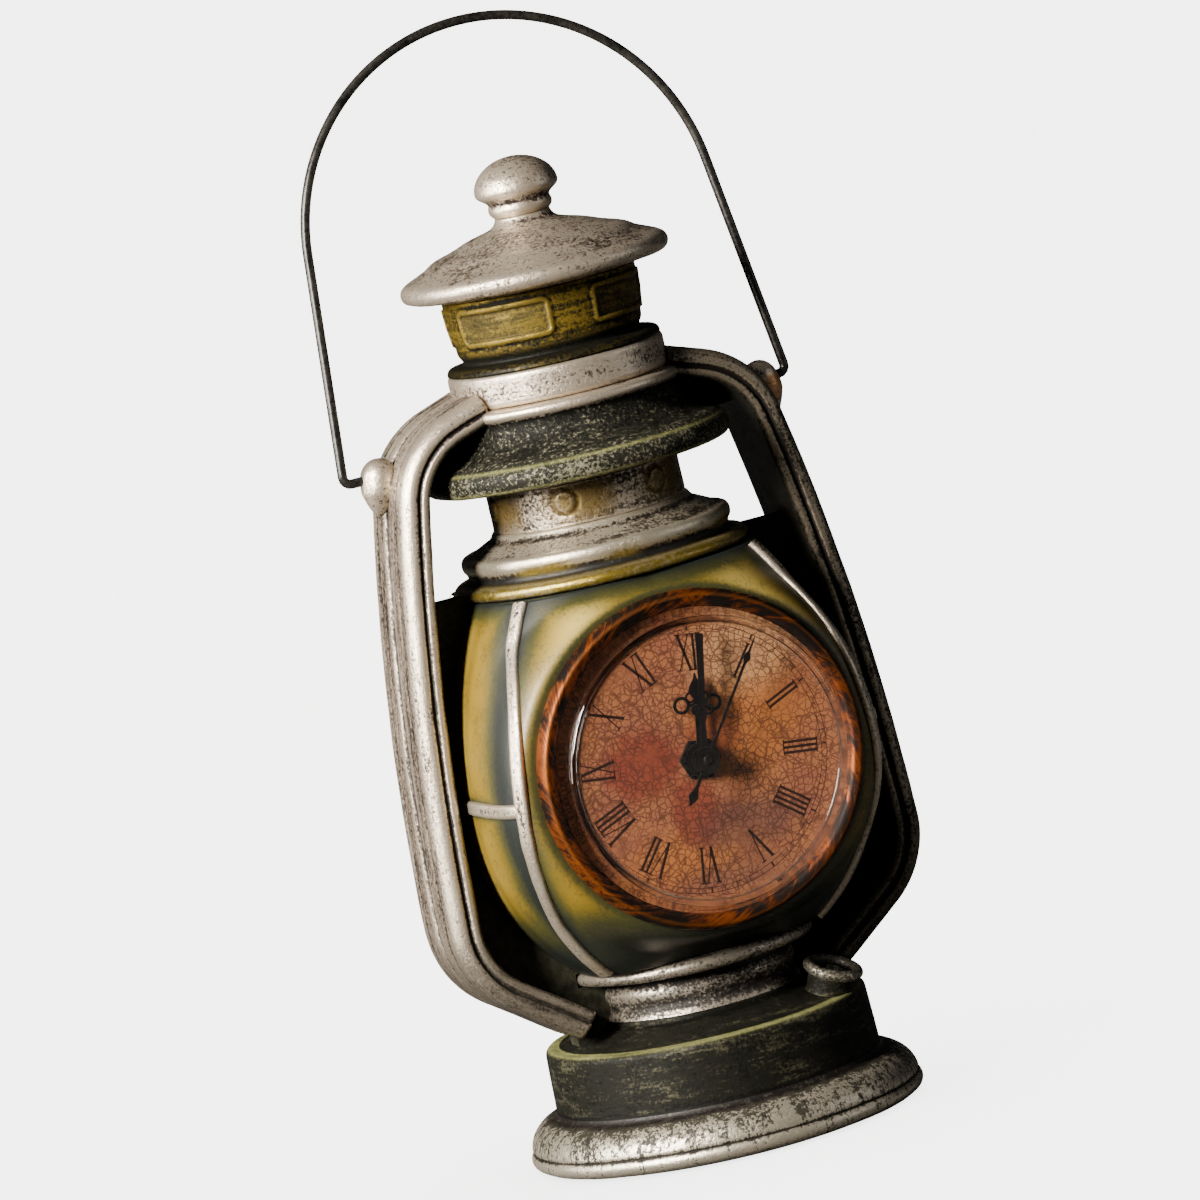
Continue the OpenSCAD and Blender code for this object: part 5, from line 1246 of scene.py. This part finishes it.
def makeBail(s):
    splay = radians(s["splay"])
    archR = s["footX"] * cos(splay) + s["bend"] * (1 + sin(splay)) - s["rise"] * sin(splay)
    leg = (s["rise"] + archR * sin(splay) - s["bend"] * (1 + sin(splay))) / cos(splay)
    links = [(s["pin"],), (s["bend"], 90 + s["splay"]), (leg,), (archR, 180 - 2 * s["splay"]), (leg,),
             (s["bend"], 90 + s["splay"]), (s["pin"],)]
    path = walk((s["pin"] - s["footX"], 0, pi), links, 0.7)
    place = (Matrix.Translation(Vector((-s["shift"], 0, s["z"])) * mm)
             @ Matrix.Rotation(radians(-s["lean"]), 4, "X"))
    rings = []
    for i, (x, z, h) in enumerate(path):
        r = s["wire"] / 2 * (0.985 + 0.012 * noise.noise(Vector((i * 0.05, 2, 7))))
        turns = [2 * pi * k / s["sides"] for k in range(s["sides"])]
        rings.append([place @ (Vector((x - r * cos(a) * sin(h), r * sin(a), z + r * cos(a) * cos(h))) * mm)
                      for a in turns])
    return hull(rings)


finish("bailWire", makeBail(bailSet), "wireBlack", "bail", ["bail"], rounds=4, full=0.1)


# Clock insert. Local places have +Z towards the viewer, from the bezel's seat.

insertTurn = -7.5
insertPlace = (Matrix.Translation(Vector((0, -seatSet["y"], seatSet["z"])) * mm)
               @ toFront @ Matrix.Rotation(radians(insertTurn), 4, "Z"))
bezelSet = {"r": 40.4, "h": 5.0, "lip": 36.1, "under": 36.9, "step": 2.7, "sides": 260, "markR": 0.04,
            "slant": 60}


# The marks of the brush run outward over the ring, and a little round it

def makeBezel(s):
    top = (s["lip"] + s["r"]) / 2
    outer = ([(s["r"] - 0.5, 0.02)]
             + arc(top + 0.4, s["h"] * 0.25, s["r"] - top - 0.4, s["h"] * 0.75, -10, 92, 16)
             + arc(top - 0.4, s["h"] * 0.45, top - 0.4 - s["lip"], s["h"] * 0.5, 88, 180, 10)
             + [(s["lip"], s["step"])])
    path = evenly(outer, 0.28, 2) + [(s["under"], s["step"]), (s["under"], 0.02)]
    mesh = meshFrom(roughen(lathe(path, s["sides"], True), 40, 0.1, 7, 0.04), "bezelRing")
    place = columns(mesh, "co", 3)
    out = np.hypot(place[:, 0], place[:, 1]) - s["lip"] * mm
    turn = np.arctan2(place[:, 1], place[:, 0]) + out * s["slant"]
    flow = [np.cos(turn) * s["markR"], np.sin(turn) * s["markR"], out + place[:, 2]]
    mark(mesh, "flow", np.stack(flow, axis=1))
    mesh.transform(insertPlace)
    return mesh


finish("bezelRing", makeBezel(bezelSet), "bezelPaint", "clock_insert", ["bezel"])

lensSet = {"r": 36.0, "h": 9.8, "wall": 1.5, "draft": 1.6, "flange": 0.8, "dialFront": 0.3,
           "flangeFront": 1.6, "bezelH": 5.0, "sides": 220}


def makeLens(s):
    inner, front = s["r"] - s["wall"], s["h"] - s["wall"]
    outer = ([(inner, s["dialFront"]), (s["r"] + s["flange"], s["dialFront"])]
             + [(s["r"] + s["flange"], s["flangeFront"]), (s["r"], s["flangeFront"]), (s["r"], s["bezelH"])]
             + arc(s["r"] - s["draft"] - 1.6, s["h"] - 2, 1.6, 1.6, 0, 78, 14)
             + [(s["r"] * 0.6, s["h"] - 0.12), (s["r"] * 0.3, s["h"] - 0.02), (0, s["h"])])
    inside = ([(0, front), (inner - s["draft"] - 1.2, front - 0.1)]
              + arc(inner - s["draft"] - 1.0, front - 1.1, 1.0, 1.0, 80, 5, 8)
              + [(inner, s["bezelH"]), (inner, s["dialFront"])])
    bm = lathe(outer + inside, s["sides"])
    bmesh.ops.transform(bm, matrix=insertPlace, verts=bm.verts)
    return bm


finish("clockLens", makeLens(lensSet), "lensClear", "clock_insert", ["lens"], ridge=False)


# Numerals and the minute track, printed a hair above the dial

printSet = {"level": 0.315, "lowR": 20.9, "highR": 29.2, "thick": 0.62, "heavy": 1.1, "hair": 0.3,
            "serif": 0.28, "foot": 0.62, "margin": 0.45, "widths": {"I": 1.25, "V": 3.5, "X": 3.6},
            "tracks": ((30.2, 0.13), (31.4, 0.16)), "parts": 240, "tick": 0.15, "hourTick": 0.42}


def makePrint(s):
    bm = bmesh.new()

    def stroke(points, turn=0):
        spin = Matrix.Rotation(turn, 2)
        placed = [spin @ Vector(p) for p in points]
        bm.faces.new([bm.verts.new((p.x * mm, p.y * mm, s["level"] * mm)) for p in placed])

    def bar(x0, y0, x1, y1, width, turn):
        side = Vector((y1 - y0, x0 - x1)).normalized() * width / 2
        stroke([(x0 - side.x, y0 - side.y), (x1 - side.x, y1 - side.y), (x1 + side.x, y1 + side.y),
                (x0 + side.x, y0 + side.y)], turn)

    low, high, thick = s["lowR"], s["highR"], s["thick"] * s["heavy"]
    topFoot, lowFoot = high - s["serif"] / 2, low + s["serif"] / 2
    words = ("XII", "I", "II", "III", "IIII", "V", "VI", "VII", "VIII", "IX", "X", "XI")
    for hour, word in enumerate(words):
        turn = -radians(30 * hour)
        x = -sum(s["widths"][c] for c in word) / 2
        for c in word:
            w = s["widths"][c]
            middle, edge = x + w / 2, w / 2 - s["margin"]
            feet = [middle - edge, middle + edge]
            if c == "I":
                bar(middle, low, middle, high, s["thick"], turn)
                feet = [middle]
            elif c == "V":
                bar(middle - edge, high, middle + 0.1, low, thick, turn)
                bar(middle + edge, high, middle - 0.05, low, s["hair"], turn)
            else:
                bar(middle - edge, high, middle + edge, low, thick, turn)
                bar(middle + edge, high, middle - edge, low, s["hair"], turn)
            for foot in feet:
                for z in (topFoot,) if c == "V" else (topFoot, lowFoot):
                    bar(foot - s["foot"], z, foot + s["foot"], z, s["serif"], turn)
            x += w
    for radius, width in s["tracks"]:
        for k in range(s["parts"]):
            a, b = 2 * pi * k / s["parts"], 2 * pi * (k + 1) / s["parts"]
            stroke([((radius - width) * cos(a), (radius - width) * sin(a)),
                    ((radius - width) * cos(b), (radius - width) * sin(b)),
                    (radius * cos(b), radius * sin(b)), (radius * cos(a), radius * sin(a))])
    for k in range(60):
        width = s["tick"] if k % 5 else s["hourTick"]
        bar(0, s["tracks"][0][0], 0, s["tracks"][1][0], width, -radians(6 * k))
    bmesh.ops.recalc_face_normals(bm, faces=bm.faces)
    for face in bm.faces:
        if face.normal.z < 0:
            face.normal_flip()
    bmesh.ops.transform(bm, matrix=insertPlace, verts=bm.verts)
    return bm


finish("dialPrint", makePrint(printSet), "printInk", "clock_insert", flat=True, ridge=False)


# Black lacquer also covers the end of the seconds arbor

tipSet = {"r": 1.15, "h": 0.45, "z": 94.4, "sunk": 0.1}


def makeTip(s):
    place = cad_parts["second_wheel"]
    front = min((place.matrix_world @ v.co).y for v in place.data.vertices)
    bm = spun(arc(0, 0, s["r"], s["h"], 0, 89, 12), 48, 0.1, 0)
    spot = Matrix.Translation(Vector((0, front + s["sunk"] * mm, s["z"] * mm)))
    bmesh.ops.transform(bm, matrix=spot @ toFront, verts=bm.verts)
    return bm


finish("secondsTip", makeTip(tipSet), "handBlack", "second", ridge=False)
print("bail and clock insert made")

# The rest keeps its CAD shape and gets its finish here

finishes = {
    "feltPad": ["felt_pad"], "dialFace": ["dial"], "rubberBlack": ["gasket"],
    "whitePlastic": ["movement_plate"], "casePlastic": ["movement_case"],
    "canTin": ["insert_can"], "handBlack": ["hour_hand", "minute_hand", "second_hand"],
    "nutBlack": ["dial_nut"], "brassTurned": ["cannon_pinion", "cell_contact", "cell_clip"],
    "gearWhite": ["centre_wheel", "third_wheel", "second_wheel", "fifth_wheel", "hour_wheel",
                  "setting_wheel"],
    "steelBright": ["case_screws", "stator", "quartz_crystal", "button_cell"],
    "redPlastic": ["setting_knob", "rotor"], "bobbinPlastic": ["coil_bobbin"],
    "magnetWire": ["coil_winding"], "boardGreen": ["circuit_board"]}
for coat, names in finishes.items():
    for nodeName in names:
        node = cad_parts[nodeName]
        node.data.materials.clear()
        node.data.materials.append(materials[coat])
print("finishes set")

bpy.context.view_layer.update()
